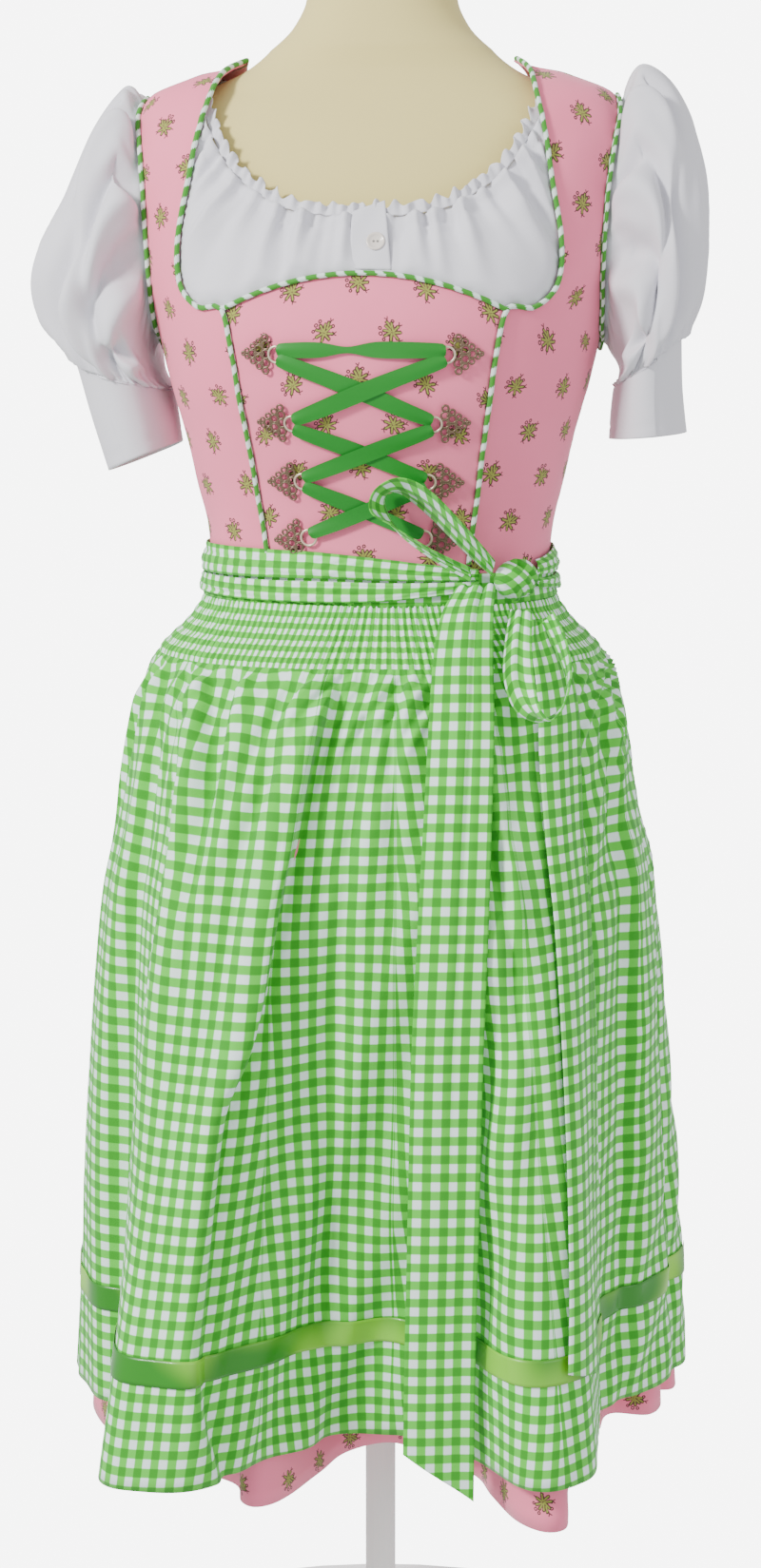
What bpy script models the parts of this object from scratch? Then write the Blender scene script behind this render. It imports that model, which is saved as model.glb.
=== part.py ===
"""A dirndl on a dress form: pink dress, white puff-sleeved blouse and checked apron with its bow.

Metres, +Z up. The front faces -Y and +X is the wearer's left. The origin is the centre of the underside of
the form's base. Every garment piece is a wall of cloth worked out from the form's surface or from the skirt's
folds, moved out layer by layer.
"""
import math
from collections import namedtuple

import bmesh
import bpy
from mathutils import Vector
from mathutils.bvhtree import BVHTree
from mathutils.geometry import barycentric_transform

MM = 0.001
SEAM_GAP = 0.0003

# Heights of the dress
TORSO_BOTTOM_Z = 0.762
WAIST_Z = 1.000
SKIRT_HEM_Z = 0.300
APRON_HEM_Z = 0.340
PIPING_BOTTOM_Z = 1.009

# Layers, as distances out from the figure's surface (inner face, outer face)
FORM_EASE = 6.4 * MM     # how far the form stays inside the figure that the clothes are cut for
BARE_Z = 1.400           # from here up the form is bare and has no ease
EASED_Z = 1.372
BLOUSE_LAYER = (0.8 * MM, 1.8 * MM)
BODICE_LAYER = (4.6 * MM, 6.1 * MM)
WAISTBAND_LAYER = (7.4 * MM, 8.9 * MM)
TIE_LAYER = (12.8 * MM, 14.0 * MM)
CLOTH = 1.2 * MM
APRON_EASE = 8.0         # the apron's distance from the skirt, in mm, and the same at its waist
APRON_WAIST_EASE = 2.6
PIPING_RADIUS = 1.5 * MM

# ---------------------------------------------------------------- tables, in millimetres and degrees

Section = namedtuple("Section", "z half_width front back centre_y")
TORSO = [
    Section(762, 112, 70, 78, 0),
    Section(768, 140, 94, 102, 0),
    Section(786, 163, 108, 119, 0),
    Section(820, 171, 113, 126, 0),
    Section(870, 169, 111, 123, 0),
    Section(920, 157, 105, 113, 0),
    Section(960, 139, 99, 100, 0),
    Section(1000, 126.5, 96, 91, 0),
    Section(1035, 129, 98, 90, 0),
    Section(1075, 138, 106, 93, 0),
    Section(1115, 147, 119, 98, 0),
    Section(1150, 157, 130, 103, 0),
    Section(1190, 166, 134, 107, 0),
    Section(1230, 174, 126, 110, 0),
    Section(1270, 181, 112, 112, 0),
    Section(1310, 185, 96, 111, 0),
    Section(1340, 184, 80, 104, 0),
    Section(1360, 175, 66, 91, 1),
    Section(1374, 143, 57, 78, 2),
    Section(1387, 106, 52, 69, 4),
    Section(1400, 85, 51, 62, 7),
    Section(1418, 67, 51, 56, 11),
    Section(1438, 58, 51, 52, 14),
    Section(1470, 55.5, 51, 51, 17),
    Section(1500, 55, 51, 51, 19),
]
ROUNDNESS = 2.3

# The skirt's girth without its folds
Girth = namedtuple("Girth", "z half_width front back")
GIRTH = [
    Girth(300, 246, 230, 236),
    Girth(400, 240, 222, 228),
    Girth(507, 234, 210, 218),
    Girth(620, 225, 199, 207),
    Girth(680, 220, 192, 200),
    Girth(753, 212, 182, 190),
    Girth(811, 199, 170, 178),
    Girth(876, 188, 155, 161),
    Girth(907, 182, 146, 150),
    Girth(940, 168, 130, 132),
    Girth(965, 145, 112, 110),
    Girth(985, 134, 102.4, 98),
    Girth(1000, 131.5, 101.2, 96.5),
]

# Folds at the hem, in order round the cloth: bearing from the front towards +X, and distance from the axis
Fold = namedtuple("Fold", "deg radius")
SKIRT_FRONT_FOLDS = [
    Fold(-100, 246), Fold(-88, 241), Fold(-77, 228), Fold(-66, 213), Fold(-55, 204), Fold(-45, 192),
    Fold(-36, 184), Fold(-30, 188), Fold(-25, 208), Fold(-21, 213), Fold(-18, 200), Fold(-16.5, 172),
    Fold(-15, 131), Fold(-13, 92), Fold(0, 68), Fold(19, 68), Fold(31, 104), Fold(35.5, 150),
    Fold(33, 190), Fold(31.5, 238), Fold(33.5, 264), Fold(37, 268), Fold(41, 250), Fold(46, 224),
    Fold(53, 203), Fold(61, 191), Fold(70, 185), Fold(86, 183),
]
SKIRT_BACK_FOLDS = [
    Fold(86, 183), Fold(95, 192), Fold(95, 222), Fold(101, 236), Fold(107, 234), Fold(108, 253),
    Fold(114, 261), Fold(121, 254), Fold(129, 228), Fold(138, 249), Fold(147, 208), Fold(157, 245),
    Fold(167, 214), Fold(177, 254), Fold(187, 214), Fold(197, 247), Fold(207, 211), Fold(218, 252),
    Fold(229, 222), Fold(240, 256), Fold(250, 236), Fold(260, 246),
]
APRON_FOLDS = [
    Fold(-108, 252), Fold(-97, 259), Fold(-87, 255), Fold(-77, 242), Fold(-69, 234), Fold(-62, 226),
    Fold(-54, 228), Fold(-46, 254), Fold(-38.5, 302), Fold(-34, 317), Fold(-29, 309), Fold(-23.5, 290),
    Fold(-21, 255), Fold(-18.8, 225), Fold(-15.7, 198), Fold(-11.5, 172), Fold(-5.8, 149), Fold(4, 139),
    Fold(14, 149), Fold(22, 174), Fold(26.5, 208), Fold(28.5, 262), Fold(32, 282), Fold(37, 283),
    Fold(42.5, 271), Fold(51, 236), Fold(60, 209), Fold(67, 200), Fold(74, 208), Fold(86, 223),
    Fold(96, 250), Fold(104, 260),
]
# Where each bearing at the hem starts at the waist
Lean = namedtuple("Lean", "hem_deg waist_deg")
LEAN = [
    Lean(-100, -102), Lean(-65, -73), Lean(-34, -51), Lean(-21, -7), Lean(6, 9), Lean(27, 21),
    Lean(43, 52), Lean(65, 71), Lean(90, 92), Lean(260, 258),
]
LEAN_RATE = 5
FOLD_GROWTH = 1.3
SKIRT_LEVELS = (998, 982, 940, 890, 800, 620, 300)
RIBBON_LEVELS = (437, 417)
APRON_LEVELS = (982, 940, 890, 800, 620, *RIBBON_LEVELS, 340)
SKIRT_FRONT_COLUMNS = 36
SKIRT_BACK_COLUMNS = 36
APRON_COLUMNS = 44

# Bodice panels as ladders from their centre edge to their outer edge, as points close to the form
Rung = namedtuple("Rung", "place centre outer")
SIDE_FRONT = [
    Rung("waist", (72, -84, 1001), (127, 0, 1001)),
    Rung("ribs", (81, -92, 1062), (139, 0, 1062)),
    Rung("underbust", (90, -110, 1122), (152, 0, 1120)),
    Rung("underarm", (97, -120, 1168), (166, 0, 1175)),
    Rung("seam_top", (102, -112, 1203), (170, -26, 1190)),
    Rung("neck_low", (120, -100, 1205), (172, -42, 1212)),
    Rung("neck_corner", (134, -86, 1221), (173, -50, 1232)),
    Rung("neck_side", (137, -80, 1252), (175, -54, 1260)),
    Rung("strap_low", (130, -72, 1298), (177, -50, 1298)),
    Rung("strap_middle", (121, -50, 1336), (180, -36, 1332)),
    Rung("strap_top", (111, -24, 1369), (183, -16, 1357)),
    Rung("shoulder", (102, 2, 1390), (184, 2, 1366)),
]
SIDE_BACK = [
    Rung("waist", (55, 82, 1001), (127, 0, 1001)),
    Rung("ribs", (61, 85, 1062), (139, 0, 1062)),
    Rung("underbust", (68, 92, 1122), (152, 0, 1120)),
    Rung("underarm", (75, 98, 1178), (166, 0, 1175)),
    Rung("blade_low", (80, 102, 1225), (169, 36, 1205)),
    Rung("blade", (84, 102, 1270), (172, 60, 1240)),
    Rung("seam_top", (88, 98, 1306), (174, 72, 1280)),
    Rung("neck_corner", (101, 88, 1322), (176, 67, 1310)),
    Rung("strap_low", (108, 64, 1350), (180, 48, 1338)),
    Rung("strap_top", (106, 30, 1378), (183, 22, 1358)),
    Rung("shoulder", (102, 2, 1390), (184, 2, 1366)),
]
LADDER_STEPS = 2
LADDER_COLUMNS = 4
FRONT_NECK_RISE = 25     # how far the neckline rises from the seam tops to the centre
BACK_NECK_RISE = -4

# The blouse's body as spokes from its neckline to its outer edge, the centre first
Spoke = namedtuple("Spoke", "place neck outer")
BLOUSE_FRONT = [
    Spoke("centre", (0, -112, 1271), (0, -120, 1120)),
    Spoke("inner", (30, -112, 1272), (45, -118, 1120)),
    Spoke("middle", (62, -105, 1278), (95, -100, 1120)),
    Spoke("side_seam", (93, -92, 1297), (152, -2, 1120)),
    Spoke("underarm", (108, -84, 1314), (164, -2, 1171)),
    Spoke("armhole_low", (120, -62, 1335), (170, -48, 1215)),
    Spoke("armhole", (131, -40, 1359), (174, -58, 1268)),
    Spoke("armhole_top", (137, -18, 1376), (177, -42, 1335)),
    Spoke("shoulder", (138, -0.5, 1382), (177, -0.5, 1371)),
]
BLOUSE_BACK = [
    Spoke("centre", (0, 105, 1330), (0, 98, 1120)),
    Spoke("inner", (35, 104, 1331), (48, 96, 1120)),
    Spoke("middle", (70, 95, 1338), (97, 80, 1120)),
    Spoke("side_seam", (98, 82, 1352), (151, 2, 1120)),
    Spoke("underarm", (111, 68, 1362), (164, 2, 1171)),
    Spoke("armhole_low", (122, 52, 1370), (169, 48, 1215)),
    Spoke("armhole", (131, 36, 1375), (172, 76, 1278)),
    Spoke("armhole_top", (137, 18, 1380), (176, 54, 1339)),
    Spoke("shoulder", (138, 0.5, 1382), (177, 0.5, 1371)),
]
SPOKE_STEPS = 5
SPOKE_PLACES = (0, 1, 1.5, 2, 2.5, 3, 4, 5, 5.6, 6.2, 6.6, 7, 7.35, 7.7, 8)     # where between the spokes the columns run

# Sleeve rings: underside point, upper point (both as distance out from the axis, and height) and half depth
Ring = namedtuple("Ring", "under_x under_z upper_x upper_z half_depth")
RIGHT_SIDE_SLEEVE = [
    Ring(180, 1170, 200, 1386, 70), Ring(183, 1164, 223, 1374, 79), Ring(185, 1158, 241, 1342, 83),
    Ring(185, 1153, 247, 1303, 84), Ring(185, 1149, 249.5, 1258, 81), Ring(184, 1146, 245, 1216, 72),
    Ring(182, 1144, 235, 1182, 60),
]
RIGHT_SIDE_CUFF = [Ring(181, 1142, 233.5, 1176, 58), Ring(179, 1124, 234.5, 1143, 58), Ring(178, 1105, 238, 1110, 59)]
LEFT_SIDE_SLEEVE = [
    Ring(179, 1169, 199, 1372, 70), Ring(177, 1162, 222, 1345, 79), Ring(174, 1156, 244, 1299, 84),
    Ring(172, 1150, 262, 1262, 84), Ring(170, 1146, 269.5, 1230, 80), Ring(168, 1143, 261, 1194, 71),
    Ring(166, 1141, 242, 1162, 60),
]
LEFT_SIDE_CUFF = [Ring(164.5, 1139, 238, 1155, 58), Ring(161, 1121, 228, 1120, 57), Ring(158, 1101, 214.5, 1078, 56)]
SLEEVE_COLUMNS = 16
ARMHOLE_CENTRE = (5, 1270)     # y, z
ARMHOLE_INSET = 4.6 * MM       # how far inside the bodice's armhole the sleeve is set
SLEEVE_SEAM_OUT = 2.4 * MM
SLEEVE_RISE_OUT = 11.5 * MM
SLEEVE_CLOTH = 1.0 * MM
CUFF_CLOTH = 1.6 * MM

# Trim of the blouse, in millimetres
RuffleRow = namedtuple("RuffleRow", "rise out")     # above the neckline, and the middle of its cloth out from the figure
RUFFLE = [RuffleRow(1.5, 1.4), RuffleRow(9.5, 2.0)]
RUFFLE_CLOTH = 1.0
RUFFLE_AIM = (0, 10, 1430)                          # the point that the ruffle rises towards
PLACKET_X, PLACKET_Z = (-2, 9, 20), (1268, 1250, 1232)
PLACKET_LAYER = (2.5 * MM, 3.5 * MM)
BUTTON_AT = (9.5, 1250.5)                           # x, z
BUTTON_PROFILE = [(5.6, 4.4), (6.9, 5.0), (6.9, 5.9), (5.8, 6.5)]     # radius, distance out from the figure

# Hooks of the lacing: the eye that the ribbon passes, as distance from the centre front and height
Hook = namedtuple("Hook", "eye_x eye_z lean_deg")
HOOKS = [Hook(60, 1172, 0), Hook(50, 1123, 2), Hook(44.5, 1079, 4), Hook(41, 1035, 6)]
HOOK_OUTLINE = [(0, 27), (25, 23.5), (48, 19), (68, 15), (90, 8.5), (125, 6.5), (180, 6.2)]   # bearing, reach
HOOK_HOLE = 3.6
HOOK_LAYER = (7.9 * MM, 9.5 * MM)
LACE_WIDTH = 11.5
LACE_END_WIDTH = 5.0
LACE_END_OFFSET = 3.2
LACE_CLOTH = 0.8
LACE_OUT = 10.8            # at the hooks; its middle comes in by the first where it lies over, else by the second
LACE_SINK = (1.2, 3.3)
# Each stretch of the lacing: side and row of both hooks, and whether it lies over the others
Lace = namedtuple("Lace", "from_side from_row to_side to_row over")
LACING = [
    Lace(-1, 0, 1, 0, False), Lace(1, 0, -1, 1, True), Lace(-1, 0, 1, 1, False), Lace(1, 1, -1, 2, True),
    Lace(-1, 1, 1, 2, False), Lace(1, 2, -1, 3, True), Lace(-1, 2, 1, 3, False),
]

# Apron ties, as stretches round the waist: bearing, middle height and height of the band
Tie = namedtuple("Tie", "deg z height")
TIE_FRONT_UPPER = [Tie(-92, 1013, 24), Tie(-60, 1014, 23), Tie(-30, 1014, 21), Tie(5, 1011, 17), Tie(33, 1007.5, 12),
                   Tie(44, 1006, 10)]
TIE_FRONT_LOWER = [Tie(-92, 991.5, 16), Tie(-60, 992, 17), Tie(-25, 992.5, 17), Tie(5, 993, 15), Tie(33, 995.5, 10),
                   Tie(44, 997, 7)]
TIE_BACK_UPPER = [Tie(68, 1009, 13), Tie(92, 1012, 20), Tie(135, 1013, 22), Tie(180, 1014, 22), Tie(225, 1014, 23),
                  Tie(267.7, 1013, 24)]
TIE_BACK_LOWER = [Tie(68, 995.5, 9), Tie(92, 992, 15), Tie(135, 991.5, 16), Tie(180, 991.5, 17), Tie(225, 991.5, 17),
                  Tie(267.7, 991.5, 16)]
WAISTBAND = [Tie(-107, 995.5, 23), Tie(103, 995.5, 23)]
KNOT_CENTRE = (112, -92, 1003)
KNOT_DEG = 51
KNOT_SIZE = (20, 12.5, 15)     # half sizes along the waist, out from it, and up

# Bands of the bow: middle of the band and the vector across its half width
BandRow = namedtuple("BandRow", "x y z across")
LOOP_UPPER = [
    BandRow(96, -107, 1012, (2, -7, 7)), BandRow(76, -125, 1035, (2, -13, 10)), BandRow(50, -136, 1062, (2, -17, 10)),
    BandRow(29, -139, 1074, (1, -18, 7)), BandRow(15, -138, 1069, (-3, -18, 3)), BandRow(14, -137, 1056, (-5, -17, 1)),
    BandRow(27, -134, 1042, (-1, -16, 4)), BandRow(53, -127, 1024, (0, -14, 5)), BandRow(80, -117, 1009, (0, -8, 5)),
]
LOOP_LOWER = [
    BandRow(118, -117, 982, (8, 1, 0)), BandRow(117, -138, 958, (10, 1, 0)), BandRow(119, -156, 934, (11, 3, 1)),
    BandRow(127, -166, 915, (9, -9, 2)), BandRow(139, -167, 907, (5, -14, 2)), BandRow(151, -160, 915, (2, -15, 4)),
    BandRow(155, -149, 934, (2, -14, 6)), BandRow(149, -134, 955, (4, -12, 7)), BandRow(138, -117, 977, (5, -8, 6)),
]
TAIL_LONG = [
    BandRow(84, -112, 1000, (14, 3, 0)), BandRow(79, -131, 982, (19, 3, 0)), BandRow(77, -146, 950, (22, 3, 0)),
    BandRow(77, -160, 905, (24, 3, 0)), BandRow(76, -176, 840, (25, 3, 0)), BandRow(74, -191, 760, (26, 3, 0)),
    BandRow(71, -203, 660, (26.5, 3, 0)), BandRow(69, -209, 540, (26.5, 3, 0)), BandRow(67, -211, 430, (26.5, 3, 0)),
    BandRow(66, -211, 335, (26.5, 3, -19)),
]
# The short tail lies on the apron: where its middle runs, as the apron's bearing at the hem, half its width in
# degrees, how far it stands off the apron, and how much lower its far edge is than its near edge
TailRow = namedtuple("TailRow", "z hem_deg half_deg out slant")
TAIL_SHORT = [
    TailRow(972, 50, 4, 17, 0), TailRow(940, 48.5, 6, 10, 0), TailRow(880, 47.5, 6.6, 6, 0),
    TailRow(800, 47, 6.2, 5, 0), TailRow(700, 46.5, 5.9, 4.5, 0), TailRow(600, 45.5, 5.8, 4.5, 0),
    TailRow(500, 43.5, 5.5, 4.5, 0), TailRow(418, 41.5, 5.3, 4.5, 7.5),
]
BAND_STEPS = 2
BAND_CLOTH = 1.6 * MM     # a tie is folded double
RIBBON_LAYER = (0.4 * MM, 1.2 * MM)
PIPING_LIFT = 0.5 * MM     # clear of the bodice's outer face

# Stand
POLE_RADIUS = 12.5 * MM
BASE_PROFILE = [(162, 0), (168, 3), (170, 8), (168, 13), (160, 17), (60, 22), (22, 26), (18, 34)]   # radius, z


# ---------------------------------------------------------------- smooth reading of the tables

def table_at(table, key):
    """The values of a table between its rows, on a smooth curve that never swings past them."""
    keys = [row[0] for row in table]
    key = min(max(key, keys[0]), keys[-1])
    low = max(i for i in range(len(keys) - 1) if keys[i] <= key)

    def slope(i, column):
        return (table[i + 1][column] - table[i][column]) / (keys[i + 1] - keys[i])

    def tangent(i, column):
        if i == 0 or i == len(keys) - 1:
            return slope(min(i, len(keys) - 2), column)
        before, after = slope(i - 1, column), slope(i, column)
        return 2 * before * after / (before + after) if before * after > 0 else 0.0

    width = keys[low + 1] - keys[low]
    t = (key - keys[low]) / width
    return [
        hermite(table[low][c], table[low + 1][c], tangent(low, c) * width, tangent(low + 1, c) * width, t)
        for c in range(1, len(table[0]))
    ]


def hermite(start, end, start_slope, end_slope, t):
    return (
        start * (2 * t**3 - 3 * t**2 + 1) + start_slope * (t**3 - 2 * t**2 + t)
        + end * (3 * t**2 - 2 * t**3) + end_slope * (t**3 - t**2)
    )


def on_curve(points, place, closed=False):
    """The point at a fractional index along the smooth curve through the points."""
    count = len(points)
    low = min(int(place), count - 1 if closed else count - 2)
    t = place - low

    def at(i):
        return points[i % count] if closed else points[min(max(i, 0), count - 1)]

    start, end = at(low), at(low + 1)
    return hermite(start, end, (end - at(low - 1)) / 2, (at(low + 2) - start) / 2, t)


def evenly(points, first, last, count, closed=False):
    """count + 1 places from index first to index last, evenly spaced along the curve, as fractional indices."""
    fine = 24 * count
    places = [first + (last - first) * k / fine for k in range(fine + 1)]
    spots = [on_curve(points, p, closed) for p in places]
    travelled = [0.0]
    for before, after in zip(spots, spots[1:]):
        travelled.append(travelled[-1] + (after - before).length)
    wanted = [travelled[-1] * k / count for k in range(count + 1)]
    found = []
    k = 0
    for distance in wanted:
        while k < fine and travelled[k + 1] < distance - 1e-9:
            k += 1
        step = travelled[k + 1] - travelled[k] if k < fine else 1.0
        found.append(places[k] + (distance - travelled[k]) / step * (last - first) / fine)
    return [min(max(p, first), last) for p in found]


# ---------------------------------------------------------------- meshes and materials

MATERIALS = {
    "form_fabric": ((0.78, 0.70, 0.48), 0.9, 0.0),
    "white_lacquer": ((0.85, 0.85, 0.83), 0.35, 0.2),
    "pink_cotton": ((0.93, 0.42, 0.52), 0.85, 0.0),
    "white_cotton": ((0.86, 0.86, 0.88), 0.8, 0.0),
    "green_check": ((0.36, 0.80, 0.22), 0.8, 0.0),
    "satin_green": ((0.25, 0.75, 0.06), 0.3, 0.0),
    "lacing_green": ((0.01, 0.62, 0.06), 0.5, 0.0),
    "brass": ((0.42, 0.33, 0.22), 0.4, 0.9),
    "pearl": ((0.85, 0.82, 0.78), 0.25, 0.0),
}


def make_material(name):
    colour, roughness, metallic = MATERIALS[name]
    material = bpy.data.materials.new(name)
    material.use_nodes = True
    shader = material.node_tree.nodes["Principled BSDF"]
    shader.inputs["Base Color"].default_value = (*colour, 1.0)
    shader.inputs["Roughness"].default_value = roughness
    shader.inputs["Metallic"].default_value = metallic
    return material


def make_object(name, points, faces, material):
    """A closed mesh with its faces turned out, as an object of its own with its own material."""
    mesh = bpy.data.meshes.new(name)
    mesh.from_pydata([tuple(p) for p in points], [], faces)
    work = bmesh.new()
    work.from_mesh(mesh)
    bmesh.ops.recalc_face_normals(work, faces=work.faces)
    if work.calc_volume(signed=True) < 0:
        bmesh.ops.reverse_faces(work, faces=work.faces)
    work.to_mesh(mesh)
    work.free()
    mesh.shade_smooth()
    mesh.set_sharp_from_angle(angle=math.radians(50))
    own = make_material(material)
    own.name = f"{name}_{material}"
    mesh.materials.append(own)
    made = bpy.data.objects.new(name, mesh)
    bpy.context.scene.collection.objects.link(made)
    return made


def make_wall(name, outer, inner, material, closed=False):
    """A wall between two grids of points. With closed, its columns run on from the last to the first."""
    rows, columns = len(outer), len(outer[0])
    points = [p for row in outer for p in row] + [p for row in inner for p in row]
    back = rows * columns
    turns = columns if closed else columns - 1
    faces = []
    for i in range(rows - 1):
        for j in range(turns):
            a, b = i * columns + j, i * columns + (j + 1) % columns
            faces.append((a, b, b + columns, a + columns))
            faces.append((back + a, back + a + columns, back + b + columns, back + b))
    for j in range(turns):
        for i in (0, rows - 1):
            a, b = i * columns + j, i * columns + (j + 1) % columns
            faces.append((a, b, back + b, back + a))
    if not closed:
        for i in range(rows - 1):
            for j in (0, columns - 1):
                a, b = i * columns + j, (i + 1) * columns + j
                faces.append((a, b, back + b, back + a))
    return make_object(name, points, faces, material)


def grid_normals(grid, closed=False):
    """The direction across the cloth at each point of a grid, from its neighbours."""
    rows, columns = len(grid), len(grid[0])
    normals = []
    for i in range(rows):
        row = []
        for j in range(columns):
            left = grid[i][(j - 1) % columns] if closed or j > 0 else grid[i][j]
            right = grid[i][(j + 1) % columns] if closed or j < columns - 1 else grid[i][j]
            along = right - left
            down = grid[min(i + 1, rows - 1)][j] - grid[max(i - 1, 0)][j]
            row.append(down.cross(along).normalized())
        normals.append(row)
    return normals


def moved(grid, distance, closed=False):
    normals = grid_normals(grid, closed)
    return [[p + n * distance for p, n in zip(row, side)] for row, side in zip(grid, normals)]


def make_tube(name, path, outward, radius, sides, material, closed=False):
    """A round cord along the path; outward gives a direction across it at each point."""
    count = len(path)
    rings = []
    for i, centre in enumerate(path):
        before = path[(i - 1) % count] if closed or i > 0 else path[i]
        after = path[(i + 1) % count] if closed or i < count - 1 else path[i]
        along = (after - before).normalized()
        side = along.cross(outward[i]).normalized()
        up = side.cross(along)
        turns = [2 * math.pi * k / sides for k in range(sides)]
        rings.append([centre + (side * math.cos(t) + up * math.sin(t)) * radius for t in turns])
    points = [p for ring in rings for p in ring]
    faces = []
    for i in range(count if closed else count - 1):
        for k in range(sides):
            a, b = i * sides + k, i * sides + (k + 1) % sides
            c, d = (i + 1) % count * sides + (k + 1) % sides, (i + 1) % count * sides + k
            faces.append((a, b, c, d))
    if not closed:
        faces.append(tuple(range(sides)))
        faces.append(tuple((count - 1) * sides + k for k in range(sides)))
    return make_object(name, points, faces, material)


def make_turned(name, rings, material):
    """Rings of points stacked into one closed body with flat ends."""
    sides = len(rings[0])
    points = [p for ring in rings for p in ring]
    faces = [tuple(range(sides)), tuple((len(rings) - 1) * sides + k for k in range(sides))]
    for i in range(len(rings) - 1):
        for k in range(sides):
            a, b = i * sides + k, i * sides + (k + 1) % sides
            faces.append((a, b, b + sides, a + sides))
    return make_object(name, points, faces, material)


# ---------------------------------------------------------------- the form's surface

def section_point(section, centre_y, degrees, z):
    """A point of a superellipse section at a bearing from its front."""
    half_width, front, back = section
    across, ahead = math.sin(math.radians(degrees)), math.cos(math.radians(degrees))
    depth = front if ahead > 0 else back
    reach = (abs(across / half_width) ** ROUNDNESS + abs(ahead / depth) ** ROUNDNESS) ** (-1 / ROUNDNESS)
    return Vector((reach * across, centre_y - reach * ahead, z)) * MM


def torso_point(degrees, z):
    half_width, front, back, centre_y = table_at(TORSO, z)
    return section_point((half_width, front, back), centre_y, degrees, z)


FINE_COLUMNS = 96
FINE_LEVELS = [
    low.z + (high.z - low.z) * k / 4 for low, high in zip(TORSO, TORSO[1:]) for k in range(4)
] + [TORSO[-1].z]
FINE_GRID = [[torso_point(360 * j / FINE_COLUMNS, z) for j in range(FINE_COLUMNS)] for z in FINE_LEVELS]
FINE_NORMALS = [n for row in grid_normals(FINE_GRID, closed=True) for n in row]
FINE_POINTS = [p for row in FINE_GRID for p in row]
FINE_TRIANGLES = [
    corner
    for i in range(len(FINE_LEVELS) - 1)
    for j in range(FINE_COLUMNS)
    for a, b in [(i * FINE_COLUMNS + j, i * FINE_COLUMNS + (j + 1) % FINE_COLUMNS)]
    for corner in ((a, b, b + FINE_COLUMNS), (a, b + FINE_COLUMNS, a + FINE_COLUMNS))
]
FORM_TREE = BVHTree.FromPolygons(FINE_POINTS, FINE_TRIANGLES)


def outward_normal(place, triangle):
    corners = [FINE_POINTS[c] for c in FINE_TRIANGLES[triangle]]
    normal = barycentric_transform(place, *corners, *[FINE_NORMALS[c] for c in FINE_TRIANGLES[triangle]])
    radial = Vector((place.x, place.y, 0))
    return normal.normalized() if normal.dot(radial) > 0 else -normal.normalized()


def on_form(point, out):
    """The nearest point of the form's surface, moved out, and the direction out of the surface there."""
    place, _, triangle, _ = FORM_TREE.find_nearest(point)
    normal = outward_normal(place, triangle)
    return place + normal * out, normal


def on_front(x, z, out, side=-1):
    """The point of the form's front (side -1) or back (side 1) at x and z, moved out."""
    place, _, triangle, _ = FORM_TREE.ray_cast(Vector((x, side, z)), Vector((0, -side, 0)))
    return place + outward_normal(place, triangle) * out


def around(degrees, z, out):
    """The point of the form at a bearing and height, moved out."""
    return on_form(torso_point(degrees, z / MM), out)[0]


# ---------------------------------------------------------------- dress form

def build_form():
    sides = 40
    levels = [s.z for s in TORSO]
    figure = [[torso_point(360 * k / sides, z) for k in range(sides)] for z in levels]
    rings = []
    for row, normals, z in zip(figure, grid_normals(figure, True), levels):
        ease = FORM_EASE * min(max((BARE_Z - z * MM) / (BARE_Z - EASED_Z), 0), 1)
        rings.append([p + n * ease for p, n in zip(row, normals)])
    for ring, z in ((rings[0], levels[0]), (rings[-1], levels[-1])):
        for point in ring:
            point.z = z * MM
    make_turned("form_torso", rings, "form_fabric")
    base_rings = [
        [Vector((r * math.cos(t), r * math.sin(t), z)) * MM for t in (2 * math.pi * k / 32 for k in range(32))]
        for r, z in BASE_PROFILE
    ]
    make_turned("form_base", base_rings, "white_lacquer")
    bottom, top = BASE_PROFILE[-1][1] * MM + SEAM_GAP, TORSO_BOTTOM_Z - SEAM_GAP
    pole_rings = [
        [Vector((POLE_RADIUS * math.cos(t), POLE_RADIUS * math.sin(t), z)) for t in (math.pi * k / 8 for k in range(16))]
        for z in (bottom, top)
    ]
    make_turned("form_pole", pole_rings, "white_lacquer")


# ---------------------------------------------------------------- bodice

def mirrored(point, side):
    return Vector((point[0] * side, point[1], point[2]))


def ladder_lines(rungs):
    """The centre edge and the outer edge of a ladder, smooth, with the same number of points."""
    centre = [Vector(r.centre) * MM for r in rungs]
    outer = [Vector(r.outer) * MM for r in rungs]
    places = [k / LADDER_STEPS for k in range((len(rungs) - 1) * LADDER_STEPS + 1)]
    return [on_curve(centre, p) for p in places], [on_curve(outer, p) for p in places]


def side_panel(rungs, side, seam_y):
    """Grids of a side panel with its strap, at every layer asked for, from the waist up."""
    centre, outer = ladder_lines(rungs)
    seam_row = next(i for i, r in enumerate(rungs) if r.place == "underarm") * LADDER_STEPS
    top_row = len(centre) - 1

    def grid(out):
        rows = []
        for i, (a, b) in enumerate(zip(centre, outer)):
            row = []
            for j in range(LADDER_COLUMNS + 1):
                spot = a.lerp(b, j / LADDER_COLUMNS)
                if j == 0:
                    spot = a + (b - a).normalized() * SEAM_GAP
                if (j == LADDER_COLUMNS and i <= seam_row) or i == top_row:
                    spot.y = seam_y
                row.append(on_form(mirrored(spot, side), out)[0])
            rows.append(row)
        return rows

    return grid


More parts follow.
